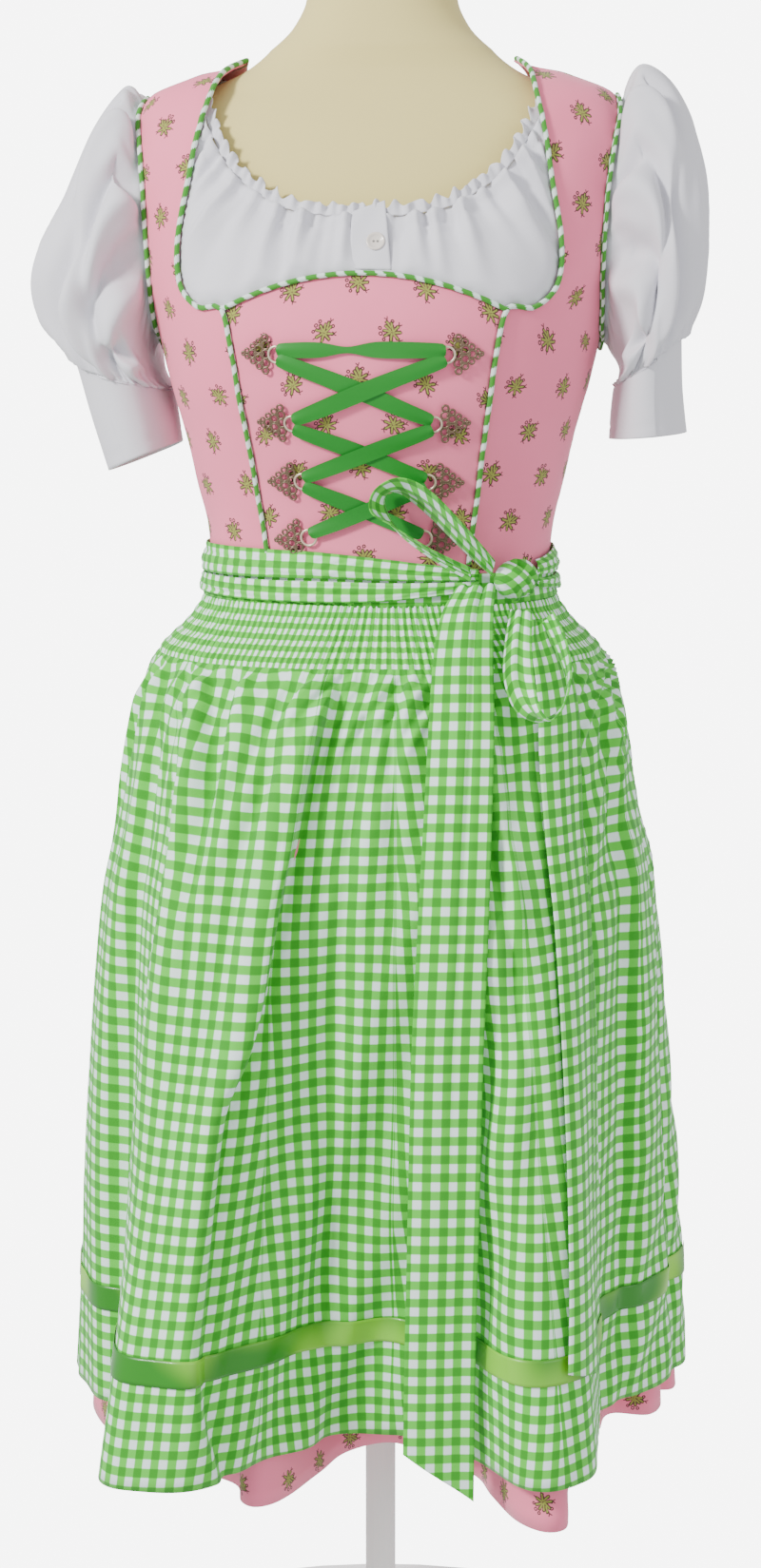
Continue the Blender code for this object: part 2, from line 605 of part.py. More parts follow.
def centre_panel(rungs, side, neck_rise):
    """Grids of the centre panel between the two seams, its top edge arched between the seam tops."""
    centre, _ = ladder_lines(rungs)
    top_row = next(i for i, r in enumerate(rungs) if r.place == "seam_top") * LADDER_STEPS
    seam = [on_form(p, 0)[0] for p in centre[: top_row + 1]]
    columns = 8

    def grid(out):
        rows = []
        for point in seam:
            row = []
            for j in range(columns + 1):
                u = 2 * j / columns - 1
                rise = neck_rise * MM * (1 - u * u) * (point.z - seam[0].z) / (seam[-1].z - seam[0].z)
                row.append(on_front(u * (point.x - SEAM_GAP), point.z + rise, out, side))
            rows.append(row)
        return rows

    return grid


def lay_piping(name, edge, closed):
    """Piping on an edge: a cord moved out from the panel's outer face."""
    lifted = [on_form(p, BODICE_LAYER[1] + PIPING_LIFT + PIPING_RADIUS) for p in edge]
    make_tube(name, [p for p, _ in lifted], [n for _, n in lifted], PIPING_RADIUS, 4, "green_check", closed)


def build_bodice():
    """Six panels and their piping. Returns each side's armhole edge from the shoulder down the front and up the back."""
    inner_out, outer_out = BODICE_LAYER
    fronts, backs = {}, {}
    for side, word in ((-1, "left"), (1, "right")):
        fronts[side] = side_panel(SIDE_FRONT, side, -SEAM_GAP)
        backs[side] = side_panel(SIDE_BACK, side, SEAM_GAP)
        make_wall(f"bodice_side_front_{word}", fronts[side](outer_out), fronts[side](inner_out), "pink_cotton")
        make_wall(f"bodice_side_back_{word}", backs[side](outer_out), backs[side](inner_out), "pink_cotton")
    centre_front = centre_panel(SIDE_FRONT, -1, FRONT_NECK_RISE)
    centre_back = centre_panel(SIDE_BACK, 1, BACK_NECK_RISE)
    make_wall("bodice_centre_front", centre_front(outer_out), centre_front(inner_out), "pink_cotton")
    make_wall("bodice_centre_back", centre_back(outer_out), centre_back(inner_out), "pink_cotton")

    def place_row(rungs, place):
        return next(i for i, r in enumerate(rungs) if r.place == place) * LADDER_STEPS

    armholes = {}
    neck_half = {}
    for side, word in ((-1, "left"), (1, "right")):
        front, back = fronts[side](outer_out), backs[side](outer_out)
        arm_front = [row[-1] for row in front[place_row(SIDE_FRONT, "underarm"):]]
        arm_back = [row[-1] for row in back[place_row(SIDE_BACK, "underarm"):]]
        armholes[side] = (arm_front[::-1], arm_back)
        lay_piping(f"piping_armhole_{word}", arm_front[::-1] + arm_back[1:-1], True)
        seam = [row[0] for row in front[: place_row(SIDE_FRONT, "seam_top")]]
        seam[0] = seam[0].lerp(seam[1], (PIPING_BOTTOM_Z - seam[0].z) / (seam[1].z - seam[0].z))
        lay_piping(f"piping_seam_{word}", seam, False)
        neck_front = [row[0] for row in front[place_row(SIDE_FRONT, "seam_top"):]]
        neck_back = [row[0] for row in back[place_row(SIDE_BACK, "seam_top"):]]
        neck_half[side] = neck_front + neck_back[-2::-1]
    neck = centre_front(outer_out)[-1][1:-1] + neck_half[1] + centre_back(outer_out)[-1][-2:0:-1]
    lay_piping("piping_neck", neck + neck_half[-1][::-1], True)
    return armholes


# ---------------------------------------------------------------- blouse

def round_the_axis(start, end, share):
    """The point a share of the way from start to end, turning about the axis on the way."""
    turn_start, turn_end = math.atan2(start.x, abs(start.y)), math.atan2(end.x, abs(end.y))
    turn = turn_start + (turn_end - turn_start) * share
    reach_start, reach_end = math.hypot(start.x, start.y), math.hypot(end.x, end.y)
    reach = reach_start + (reach_end - reach_start) * share
    side = 1 if start.y > 0 else -1
    return Vector((reach * math.sin(turn), side * reach * math.cos(turn), start.z + (end.z - start.z) * share))


def spoke_grid(spokes, side, out):
    """Both halves of a blouse panel, from the neckline row out."""
    half = [(Vector(s.neck) * MM, Vector(s.outer) * MM) for s in spokes]
    necks = [on_curve([n for n, _ in half], p) for p in SPOKE_PLACES]
    outers = [on_curve([o for _, o in half], p) for p in SPOKE_PLACES]
    pairs = [(mirrored(n, -1), mirrored(o, -1)) for n, o in zip(necks, outers)][:0:-1] + list(zip(necks, outers))
    rows = []
    for i in range(SPOKE_STEPS + 1):
        spots = [round_the_axis(n, o, i / SPOKE_STEPS) for n, o in pairs]
        for spot in spots:
            spot.y = side * max(side * spot.y, 0.5 * MM)
        rows.append([on_form(spot, out)[0] for spot in spots])
    return rows


def sleeve_rings(table, side, armhole):
    """Rings of a puff sleeve: two that leave the armhole, then those of the table."""
    front, back = armhole
    half = SLEEVE_COLUMNS // 2
    down = [on_curve(front, p) for p in evenly(front, 0, len(front) - 1, half)]
    up = [on_curve(back, p) for p in evenly(back, 0, len(back) - 1, half)]
    loop = down + up[1:-1]
    centre = Vector((0, ARMHOLE_CENTRE[0], ARMHOLE_CENTRE[1])) * MM
    rings = []
    for out in (SLEEVE_SEAM_OUT, SLEEVE_RISE_OUT):
        ring = []
        for point in loop:
            inward = Vector((0, centre.y - point.y, centre.z - point.z)).normalized()
            ring.append(on_form(on_form(point, 0)[0] + inward * ARMHOLE_INSET, out)[0])
        rings.append(ring)
    return rings + [table_ring(row, side) for row in table]


def table_ring(row, side):
    upper = Vector((side * row.upper_x, 4, row.upper_z)) * MM
    under = Vector((side * row.under_x, 4, row.under_z)) * MM
    middle, reach = (upper + under) / 2, (upper - under) / 2
    turns = [2 * math.pi * k / SLEEVE_COLUMNS for k in range(SLEEVE_COLUMNS)]
    return [middle + reach * math.cos(t) + Vector((0, -row.half_depth * MM * math.sin(t), 0)) for t in turns]


def build_blouse(armholes):
    inner_out, outer_out = BLOUSE_LAYER
    for name, spokes, side in (("blouse_front", BLOUSE_FRONT, -1), ("blouse_back", BLOUSE_BACK, 1)):
        make_wall(name, spoke_grid(spokes, side, outer_out), spoke_grid(spokes, side, inner_out), "white_cotton")
    for side, word, sleeve, cuff in (
        (-1, "left", LEFT_SIDE_SLEEVE, LEFT_SIDE_CUFF), (1, "right", RIGHT_SIDE_SLEEVE, RIGHT_SIDE_CUFF)
    ):
        rings = sleeve_rings(sleeve, side, armholes[side])
        make_wall(f"blouse_sleeve_{word}", rings, moved(rings, side * SLEEVE_CLOTH, True), "white_cotton", True)
        cuff_rings = [table_ring(row, side) for row in cuff]
        make_wall(f"blouse_cuff_{word}", cuff_rings, moved(cuff_rings, side * CUFF_CLOTH, True), "white_cotton", True)
    front, back = spoke_grid(BLOUSE_FRONT, -1, 0)[0], spoke_grid(BLOUSE_BACK, 1, 0)[0]
    loop = front + back[-2:0:-1]
    above = Vector(RUFFLE_AIM) * MM
    ruffle = [[(p + (above - p).normalized() * row.rise * MM, row.out) for p in loop] for row in RUFFLE]
    outer, inner = [
        [[on_form(p, (out + half) * MM)[0] for p, out in row] for row in ruffle]
        for half in (RUFFLE_CLOTH / 2, -RUFFLE_CLOTH / 2)
    ]
    make_wall("blouse_neck_ruffle", outer, inner, "white_cotton", True)
    inner, outer = [
        [[on_front(x * MM, z * MM, out) for x in PLACKET_X] for z in PLACKET_Z] for out in PLACKET_LAYER
    ]
    make_wall("blouse_placket", outer, inner, "white_cotton")
    x, z = BUTTON_AT
    centre, normal = on_form(on_front(x * MM, z * MM, 0), 0)
    up = normal.cross(Vector((1, 0, 0))).normalized()
    side = up.cross(normal)
    turns = [2 * math.pi * k / 16 for k in range(16)]
    rings = [
        [centre + normal * out * MM + (side * math.cos(t) + up * math.sin(t)) * radius * MM for t in turns]
        for radius, out in BUTTON_PROFILE
    ]
    make_turned("blouse_button", rings, "pearl")


# ---------------------------------------------------------------- skirt and apron

def polar_to_hem(folds):
    """The hem's outline as seen from above, in millimetres."""
    return [
        Vector((f.radius * math.sin(math.radians(f.deg)), -f.radius * math.cos(math.radians(f.deg)), 0)) for f in folds
    ]


def bearing(point, near):
    """The bearing of a point of the outline, on the turn closest to near."""
    degrees = math.degrees(math.atan2(point.x, -point.y))
    return degrees + 360 * round((near - degrees) / 360)


def ease_at(z, apron):
    """How far out the apron hangs from the skirt at height z. The skirt itself has none."""
    if not apron:
        return 0.0
    return APRON_WAIST_EASE + (APRON_EASE - APRON_WAIST_EASE) * min(1.0, (WAIST_Z / MM - z) / 100)


def hanging_point(hem_deg, hem_radius, z, hem_z, apron):
    """Where the cloth that ends at this hem point is at height z: smooth at the waist, folded at the hem."""
    fall = (WAIST_Z / MM - z) / (WAIST_Z / MM - hem_z)
    swing = 1 - (1 - min(max(fall, 0), 1)) ** LEAN_RATE
    waist_deg = table_at(LEAN, hem_deg)[0]
    degrees = waist_deg + (hem_deg - waist_deg) * swing
    girth = section_point(table_at(GIRTH, z), 0, degrees, z)
    girth_radius = math.hypot(girth.x, girth.y) / MM + ease_at(z, apron)
    hem = section_point(table_at(GIRTH, hem_z), 0, hem_deg, z)
    hem_girth = math.hypot(hem.x, hem.y) / MM + ease_at(hem_z, apron)
    radius = girth_radius + (hem_radius - hem_girth) * max(fall, 0) ** FOLD_GROWTH
    turn = math.radians(degrees)
    return Vector((radius * math.sin(turn), -radius * math.cos(turn), z)) * MM


def hung_cloth(outline, places, levels, hem_z, apron, near):
    """A grid of hanging cloth: a row for each level, a column for each place along the hem's outline."""
    hem_points = []
    last = near
    for place in places:
        point = on_curve(outline, place, not apron)
        last = bearing(point, last)
        hem_points.append((last, point.length))
    return [[hanging_point(deg, radius, z, hem_z, apron) for deg, radius in hem_points] for z in levels]


def trim_ends(row_grid, gap):
    """Moves the first and last columns in by a seam gap."""
    for row in row_grid:
        row[0] += (row[1] - row[0]).normalized() * gap
        row[-1] += (row[-2] - row[-1]).normalized() * gap
    return row_grid


def build_skirt_and_apron():
    outline = polar_to_hem(SKIRT_FRONT_FOLDS + SKIRT_BACK_FOLDS[1:-1])
    seam = len(SKIRT_FRONT_FOLDS) - 1
    hem_z = SKIRT_HEM_Z / MM
    for name, first, last, count, near in (
        ("skirt_front", 0, seam, SKIRT_FRONT_COLUMNS, -100), ("skirt_back", seam, len(outline), SKIRT_BACK_COLUMNS, 86)
    ):
        places = evenly(outline, first, last, count, True)
        cloth = trim_ends(hung_cloth(outline, places, SKIRT_LEVELS, hem_z, False, near), 2 * SEAM_GAP)
        make_wall(name, cloth, moved(cloth, -CLOTH), "pink_cotton")

    hem = polar_to_hem(APRON_FOLDS)
    places = evenly(hem, 0, len(hem) - 1, APRON_COLUMNS)
    near = APRON_FOLDS[0].deg
    apron = hung_cloth(hem, places, APRON_LEVELS, APRON_HEM_Z / MM, True, near)
    make_wall("apron_panel", apron, moved(apron, -CLOTH), "green_check")
    ribbon_rows = [apron[APRON_LEVELS.index(level)] for level in RIBBON_LEVELS]
    normals = [grid_normals(apron)[APRON_LEVELS.index(level)] for level in RIBBON_LEVELS]
    ribbon = [
        [[p + n * out for p, n in zip(row, side)] for row, side in zip(ribbon_rows, normals)]
        for out in RIBBON_LAYER[::-1]
    ]
    make_wall("apron_ribbon", ribbon[0], ribbon[1], "satin_green")


def waist_strip(rows, layer, columns):
    """Outer and inner grids of a band round the waist."""
    degs = [rows[0].deg + (rows[-1].deg - rows[0].deg) * j / columns for j in range(columns + 1)]
    grids = []
    for out in layer[::-1]:
        grid = []
        for share in (0.5, -0.5):
            spots = [(deg, *table_at(rows, deg)) for deg in degs]
            grid.append([around(deg, (z + share * height) * MM, out) for deg, z, height in spots])
        grids.append(grid)
    return grids


def build_waist():
    """The apron's waistband and the ties laid over it, front and back."""
    outer, inner = waist_strip(WAISTBAND, WAISTBAND_LAYER, 24)
    make_wall("apron_waistband", outer, inner, "green_check")
    for name, rows, columns in (
        ("apron_tie_front_upper", TIE_FRONT_UPPER, 14), ("apron_tie_front_lower", TIE_FRONT_LOWER, 14),
        ("apron_tie_back_upper", TIE_BACK_UPPER, 20), ("apron_tie_back_lower", TIE_BACK_LOWER, 20),
    ):
        outer, inner = waist_strip(rows, TIE_LAYER, columns)
        make_wall(name, outer, inner, "green_check")


# ---------------------------------------------------------------- bow

def make_band(name, rows, thickness, material):
    """A flat band along the rows' middles, as wide as their vectors across, thickened to both sides."""
    middles = [Vector((r.x, r.y, r.z)) * MM for r in rows]
    across = [Vector(r.across) * MM for r in rows]
    places = [k / BAND_STEPS for k in range((len(rows) - 1) * BAND_STEPS + 1)]
    grid = [[on_curve(middles, p) + on_curve(across, p) * share for share in (-1, 1)] for p in places]
    make_wall(name, moved(grid, thickness / 2), moved(grid, -thickness / 2), material)


def apron_hem_radius(hem_deg):
    """The apron's distance from the axis at its hem, in the stretch where it has one cloth at each bearing."""
    rising = [f for f in APRON_FOLDS if 28 < f.deg < 90]
    return table_at(rising, hem_deg)[0]


def on_apron(hem_deg, z, out):
    """A point of the apron at height z, moved out from the axis."""
    place = hanging_point(hem_deg, apron_hem_radius(hem_deg), z, APRON_HEM_Z / MM, True)
    return place + Vector((place.x, place.y, 0)).normalized() * out


def build_knot():
    turn = math.radians(KNOT_DEG)
    along, outward = Vector((math.cos(turn), math.sin(turn), 0)), Vector((math.sin(turn), -math.cos(turn), 0))
    reach, depth, rise = (size * MM for size in KNOT_SIZE)
    rings = []
    for k in range(1, 8):
        tilt = math.pi * k / 8
        centre = Vector(KNOT_CENTRE) * MM - Vector((0, 0, rise * math.cos(tilt)))
        turns = [2 * math.pi * j / 12 for j in range(12)]
        rings.append([
            centre + (along * reach * math.cos(t) + outward * depth * math.sin(t)) * math.sin(tilt) for t in turns
        ])
    make_turned("apron_knot", rings, "green_check")


def build_bow():
    build_knot()
    make_band("apron_bow_loop_upper", LOOP_UPPER, BAND_CLOTH, "green_check")
    make_band("apron_bow_loop_lower", LOOP_LOWER, BAND_CLOTH, "green_check")
    make_band("apron_tail_long", TAIL_LONG, BAND_CLOTH, "green_check")
    tail = [
        [on_apron(row.hem_deg + share * row.half_deg, row.z - share * row.slant, row.out * MM) for share in (-1, 0, 1)]
        for row in TAIL_SHORT
    ]
    make_wall("apron_tail_short", moved(tail, BAND_CLOTH / 2), moved(tail, -BAND_CLOTH / 2), "green_check")


# ---------------------------------------------------------------- hooks and lacing

def hook_plate(name, eye, side, lean_deg):
    """A flat plate with an eye near its inner end, standing just off the bodice."""
    centre, normal = on_form(on_front(eye[0], eye[1], 0), 0)
    lean = math.radians(lean_deg)
    tip = Vector((side * math.cos(lean), 0, -math.sin(lean)))
    tip = (tip - normal * tip.dot(normal)).normalized()
    up = normal.cross(tip)
    outline = []
    for bearing_deg, reach in HOOK_OUTLINE + [(360 - b, r) for b, r in HOOK_OUTLINE[-2:0:-1]]:
        turn = math.radians(bearing_deg)
        outline.append((math.cos(turn), math.sin(turn), reach))
    loops = []
    for out in HOOK_LAYER:
        loops.append([
            centre + normal * out + (tip * c + up * s) * reach * MM for c, s, reach in outline
        ])
        loops.append([centre + normal * out + (tip * c + up * s) * HOOK_HOLE * MM for c, s, _ in outline])
    back_rim, back_hole, face_rim, face_hole = loops
    count = len(outline)
    points = back_rim + back_hole + face_rim + face_hole
    faces = []
    for k in range(count):
        n = (k + 1) % count
        for a, b in ((0, 1), (1, 3), (3, 2), (2, 0)):
            faces.append((a * count + k, a * count + n, b * count + n, b * count + k))
    make_object(name, points, faces, "brass")


def build_lacing():
    for row, hook in enumerate(HOOKS):
        for side, word in ((-1, "left"), (1, "right")):
            hook_plate(f"hook_{word}_{row + 1}", (side * hook.eye_x * MM, hook.eye_z * MM), side, hook.lean_deg)
    steps = 6
    for number, lace in enumerate(LACING):
        level = lace.from_row == lace.to_row
        ends = []
        for side, row, down in ((lace.from_side, lace.from_row, 1), (lace.to_side, lace.to_row, -1)):
            shift = LACE_END_OFFSET * (1 if level else -down)
            ends.append(Vector((side * HOOKS[row].eye_x, 0, HOOKS[row].eye_z + shift)) * MM)
        along = (ends[1] - ends[0]).normalized()
        across = Vector((-along.z, 0, along.x))
        outer, inner = [], []
        for k in range(steps + 1):
            t = k / steps
            spread = math.sin(math.pi * t) ** 0.5
            width = LACE_END_WIDTH + (LACE_WIDTH - LACE_END_WIDTH) * spread
            crest = math.sin(math.pi * t) ** 2
            out = (LACE_OUT - LACE_SINK[0 if lace.over else 1] * crest) * MM
            spots = [ends[0].lerp(ends[1], t) + across * width * MM * share for share in (-0.5, 0.5)]
            outer.append([on_front(p.x, p.z, out + LACE_CLOTH * MM) for p in spots])
            inner.append([on_front(p.x, p.z, out) for p in spots])
        make_wall(f"lacing_{number + 1}", outer, inner, "lacing_green")


def main():
    for leftover in list(bpy.data.objects):
        bpy.data.objects.remove(leftover)
    build_form()
    armholes = build_bodice()
    build_blouse(armholes)
    build_skirt_and_apron()
    build_waist()
    build_bow()
    build_lacing()


main()
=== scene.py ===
"""The looks of the dirndl: printed pink dress, gathered white blouse and gingham apron on its dress form.

Each piece of cloth is a fine thin shell on its solid's form, in metres. Its folds, gathers and creases are
soft troughs and ridges placed on that form, and its print or check is drawn in the cloth's own
lengths.
"""
import math
import random
from collections import namedtuple

import bpy
import numpy as np
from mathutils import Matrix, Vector
from mathutils.bvhtree import BVHTree
from mathutils.geometry import barycentric_transform


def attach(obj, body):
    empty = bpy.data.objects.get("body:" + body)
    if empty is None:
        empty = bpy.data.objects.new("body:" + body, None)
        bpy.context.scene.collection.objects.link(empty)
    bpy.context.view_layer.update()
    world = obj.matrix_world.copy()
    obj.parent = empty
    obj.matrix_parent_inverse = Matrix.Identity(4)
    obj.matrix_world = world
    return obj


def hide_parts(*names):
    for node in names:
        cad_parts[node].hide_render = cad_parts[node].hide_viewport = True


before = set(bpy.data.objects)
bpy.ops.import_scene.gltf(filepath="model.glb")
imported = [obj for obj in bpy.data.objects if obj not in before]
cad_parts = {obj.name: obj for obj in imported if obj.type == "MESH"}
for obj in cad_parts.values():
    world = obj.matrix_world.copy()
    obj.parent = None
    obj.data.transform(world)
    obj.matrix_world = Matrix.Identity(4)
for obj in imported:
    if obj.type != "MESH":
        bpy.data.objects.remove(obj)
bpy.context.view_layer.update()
MM = 0.001

# ---------------------------------------------------------------- sizes of the solids, in mm and degrees

def table(kind, *rows):
    return [kind(*row) for row in rows]


WAIST_Z = 1000
SKIRT_HEM_Z = 300
HEM_STITCH_Z = 322
APRON_HEM_Z = 340
PIPING_BOTTOM_Z = 1.009
FORM_EASE = 6.4 * MM     # how far the form stays inside the figure that the clothes are cut for
BARE_Z = 1.400           # from here up the form is bare and has no ease
EASED_Z = 1.372
BLOUSE_LAYER = (0.8 * MM, 1.8 * MM)     # layers, as distances out from the figure
BODICE_LAYER = (4.6 * MM, 6.1 * MM)
WAISTBAND_LAYER = (7.4 * MM, 8.9 * MM)
TIE_LAYER = (12.8 * MM, 14.0 * MM)
APRON_EASE = 8.0         # the apron's distance from the skirt, and the same at its waist
APRON_WAIST_EASE = 2.6
# Thickness of the cloth
BODICE_CLOTH, SKIRT_CLOTH, BLOUSE_CLOTH, APRON_CLOTH = 1.1 * MM, 0.8 * MM, 0.7 * MM, 0.7 * MM
RUFFLE_CLOTH, DOUBLE_CLOTH, BAND_CLOTH, TIE_CLOTH = 0.6 * MM, 1.2 * MM, 1.1 * MM, 0.9 * MM
BOW_CLOTH, SATIN_RIBBON, LACE_RIBBON = 0.8 * MM, 0.5 * MM, 0.7 * MM

Section = namedtuple("Section", "z half_width front back centre_y")
TORSO = table(
    Section, (762, 112, 70, 78, 0), (768, 140, 94, 102, 0), (786, 163, 108, 119, 0), (820, 171, 113, 126, 0),
    (870, 169, 111, 123, 0), (920, 157, 105, 113, 0), (960, 139, 99, 100, 0), (1000, 126.5, 96, 91, 0),
    (1035, 129, 98, 90, 0), (1075, 138, 106, 93, 0), (1115, 147, 119, 98, 0), (1150, 157, 130, 103, 0),
    (1190, 166, 134, 107, 0), (1230, 174, 126, 110, 0), (1270, 181, 112, 112, 0), (1310, 185, 96, 111, 0),
    (1340, 184, 80, 104, 0), (1360, 175, 66, 91, 1), (1374, 143, 57, 78, 2), (1387, 106, 52, 69, 4),
    (1400, 85, 51, 62, 7), (1418, 67, 51, 56, 11), (1438, 58, 51, 52, 14), (1470, 55.5, 51, 51, 17),
    (1500, 55, 51, 51, 19),
)
ROUNDNESS = 2.3

# The skirt's girth without its folds
Girth = namedtuple("Girth", "z half_width front back")
GIRTH = table(
    Girth, (300, 246, 230, 236), (400, 240, 222, 228), (507, 234, 210, 218), (620, 225, 199, 207),
    (680, 220, 192, 200), (753, 212, 182, 190), (811, 199, 170, 178), (876, 188, 155, 161),
    (907, 182, 146, 150), (940, 168, 130, 132), (965, 145, 112, 110), (985, 134, 102.4, 98),
    (1000, 131.5, 101.2, 96.5),
)

# Folds at the hem, in order round the cloth: bearing from the front towards +X, and distance from the axis
Fold = namedtuple("Fold", "deg radius")
SKIRT_FRONT_FOLDS = table(
    Fold, (-100, 246), (-88, 241), (-77, 228), (-66, 213), (-55, 204), (-45, 192), (-36, 184), (-30, 188),
    (-25, 208), (-21, 213), (-18, 200), (-16.5, 172), (-15, 131), (-13, 92), (0, 68), (19, 68), (31, 104),
    (35.5, 150), (33, 190), (31.5, 238), (33.5, 264), (37, 268), (41, 250), (46, 224), (53, 203), (61, 191),
    (70, 185), (86, 183),
)
SKIRT_BACK_FOLDS = table(
    Fold, (86, 183), (95, 192), (95, 222), (101, 236), (107, 234), (108, 253), (114, 261), (121, 254),
    (129, 228), (138, 249), (147, 208), (157, 245), (167, 214), (177, 254), (187, 214), (197, 247),
    (207, 211), (218, 252), (229, 222), (240, 256), (250, 236), (260, 246),
)
APRON_FOLDS = table(
    Fold, (-108, 252), (-97, 259), (-87, 255), (-77, 242), (-69, 234), (-62, 226), (-54, 228), (-46, 254),
    (-38.5, 302), (-34, 317), (-29, 309), (-23.5, 290), (-21, 255), (-18.8, 225), (-15.7, 198), (-11.5, 172),
    (-5.8, 149), (4, 139), (14, 149), (22, 174), (26.5, 208), (28.5, 262), (32, 282), (37, 283), (42.5, 271),
    (51, 236), (60, 209), (67, 200), (74, 208), (86, 223), (96, 250), (104, 260),
)
# Where each bearing at the hem starts at the waist
Lean = namedtuple("Lean", "hem_deg waist_deg")
LEAN = table(
    Lean, (-100, -102), (-65, -73), (-34, -51), (-21, -7), (6, 9), (27, 21), (43, 52), (65, 71), (90, 92),
    (260, 258),
)
LEAN_RATE = 5
FOLD_GROWTH = 1.3
RIBBON_LEVELS = (437, 417)

# Bodice panels as ladders from their centre edge to their outer edge, as points close to the form
Rung = namedtuple("Rung", "place centre outer")
SIDE_FRONT = table(
    Rung, ("waist", (72, -84, 1001), (127, 0, 1001)), ("ribs", (81, -92, 1062), (139, 0, 1062)),
    ("underbust", (90, -110, 1122), (152, 0, 1120)), ("underarm", (97, -120, 1168), (166, 0, 1175)),
    ("seam_top", (102, -112, 1203), (170, -26, 1190)), ("neck_low", (120, -100, 1205), (172, -42, 1212)),
    ("neck_corner", (134, -86, 1221), (173, -50, 1232)), ("neck_side", (137, -80, 1252), (175, -54, 1260)),
    ("strap_low", (130, -72, 1298), (177, -50, 1298)), ("strap_middle", (121, -50, 1336), (180, -36, 1332)),
    ("strap_top", (111, -24, 1369), (183, -16, 1357)), ("shoulder", (102, 2, 1390), (184, 2, 1366)),
)
SIDE_BACK = table(
    Rung, ("waist", (55, 82, 1001), (127, 0, 1001)), ("ribs", (61, 85, 1062), (139, 0, 1062)),
    ("underbust", (68, 92, 1122), (152, 0, 1120)), ("underarm", (75, 98, 1178), (166, 0, 1175)),
    ("blade_low", (80, 102, 1225), (169, 36, 1205)), ("blade", (84, 102, 1270), (172, 60, 1240)),
    ("seam_top", (88, 98, 1306), (174, 72, 1280)), ("neck_corner", (101, 88, 1322), (176, 67, 1310)),
    ("strap_low", (108, 64, 1350), (180, 48, 1338)), ("strap_top", (106, 30, 1378), (183, 22, 1358)),
    ("shoulder", (102, 2, 1390), (184, 2, 1366)),
)
FRONT_NECK_RISE = 25     # how far the neckline rises from the seam tops to the centre
BACK_NECK_RISE = -4

# The blouse's body as spokes from its neckline to its outer edge, the centre first
Spoke = namedtuple("Spoke", "place neck outer")
BLOUSE_FRONT = table(
    Spoke, ("centre", (0, -112, 1271), (0, -120, 1120)), ("inner", (30, -112, 1272), (45, -118, 1120)),
    ("middle", (62, -105, 1278), (95, -100, 1120)), ("side_seam", (93, -92, 1297), (152, -2, 1120)),
    ("underarm", (108, -84, 1314), (164, -2, 1171)), ("armhole_low", (120, -62, 1335), (170, -48, 1215)),
    ("armhole", (131, -40, 1359), (174, -58, 1268)), ("armhole_top", (137, -18, 1376), (177, -42, 1335)),
    ("shoulder", (138, -0.5, 1382), (177, -0.5, 1371)),
)
BLOUSE_BACK = table(
    Spoke, ("centre", (0, 105, 1330), (0, 98, 1120)), ("inner", (35, 104, 1331), (48, 96, 1120)),
    ("middle", (70, 95, 1338), (97, 80, 1120)), ("side_seam", (98, 82, 1352), (151, 2, 1120)),
    ("underarm", (111, 68, 1362), (164, 2, 1171)), ("armhole_low", (122, 52, 1370), (169, 48, 1215)),
    ("armhole", (131, 36, 1375), (172, 76, 1278)), ("armhole_top", (137, 18, 1380), (176, 54, 1339)),
    ("shoulder", (138, 0.5, 1382), (177, 0.5, 1371)),
)

# Sleeve rings: underside point, upper point (both as distance out from the axis, and height) and half depth
Ring = namedtuple("Ring", "under_x under_z upper_x upper_z half_depth")
RIGHT_SIDE_SLEEVE = table(
    Ring, (180, 1170, 200, 1386, 70), (183, 1164, 223, 1374, 79), (185, 1158, 241, 1342, 83),
    (185, 1153, 247, 1303, 84), (185, 1149, 249.5, 1258, 81), (184, 1146, 245, 1216, 72),
    (182, 1144, 235, 1182, 60),
)
RIGHT_SIDE_CUFF = table(
    Ring, (181, 1142, 233.5, 1176, 58), (179, 1124, 234.5, 1143, 58), (178, 1105, 238, 1110, 59),
)
LEFT_SIDE_SLEEVE = table(
    Ring, (179, 1169, 199, 1372, 70), (177, 1162, 222, 1345, 79), (174, 1156, 244, 1299, 84),
    (172, 1150, 262, 1262, 84), (170, 1146, 269.5, 1230, 80), (168, 1143, 261, 1194, 71),
    (166, 1141, 242, 1162, 60),
)
LEFT_SIDE_CUFF = table(
    Ring, (164.5, 1139, 238, 1155, 58), (161, 1121, 228, 1120, 57), (158, 1101, 214.5, 1078, 56),
)
ARMHOLE_CENTRE = (5, 1270)     # y, z
ARMHOLE_INSET = 4.6 * MM       # how far inside the bodice's armhole the sleeve is set
SLEEVE_SEAM_OUT = 2.4 * MM
SLEEVE_RISE_OUT = 11.5 * MM

# Hooks of the lacing: the eye that the ribbon passes, as distance from the centre front and height
Hook = namedtuple("Hook", "eye_x eye_z lean_deg")
HOOKS = table(Hook, (60, 1172, 0), (50, 1123, 2), (44.5, 1079, 4), (41, 1035, 6))
LACE_WIDTH = 12.0
LACE_END_WIDTH = 6.5
LACE_END_OFFSET = 3.2
# How far out from the figure, and how much less at the middle of a stretch
LACE_OUT, LACE_SINK_OVER, LACE_SINK_UNDER = 11.2, 1.2, 3.3
# Each stretch of the lacing: side and row of both hooks, and whether it lies over the others
Lace = namedtuple("Lace", "from_side from_row to_side to_row over")
LACING = table(
    Lace, (-1, 0, 1, 0, False), (1, 0, -1, 1, True), (-1, 0, 1, 1, False), (1, 1, -1, 2, True),
    (-1, 1, 1, 2, False), (1, 2, -1, 3, True), (-1, 2, 1, 3, False),
)

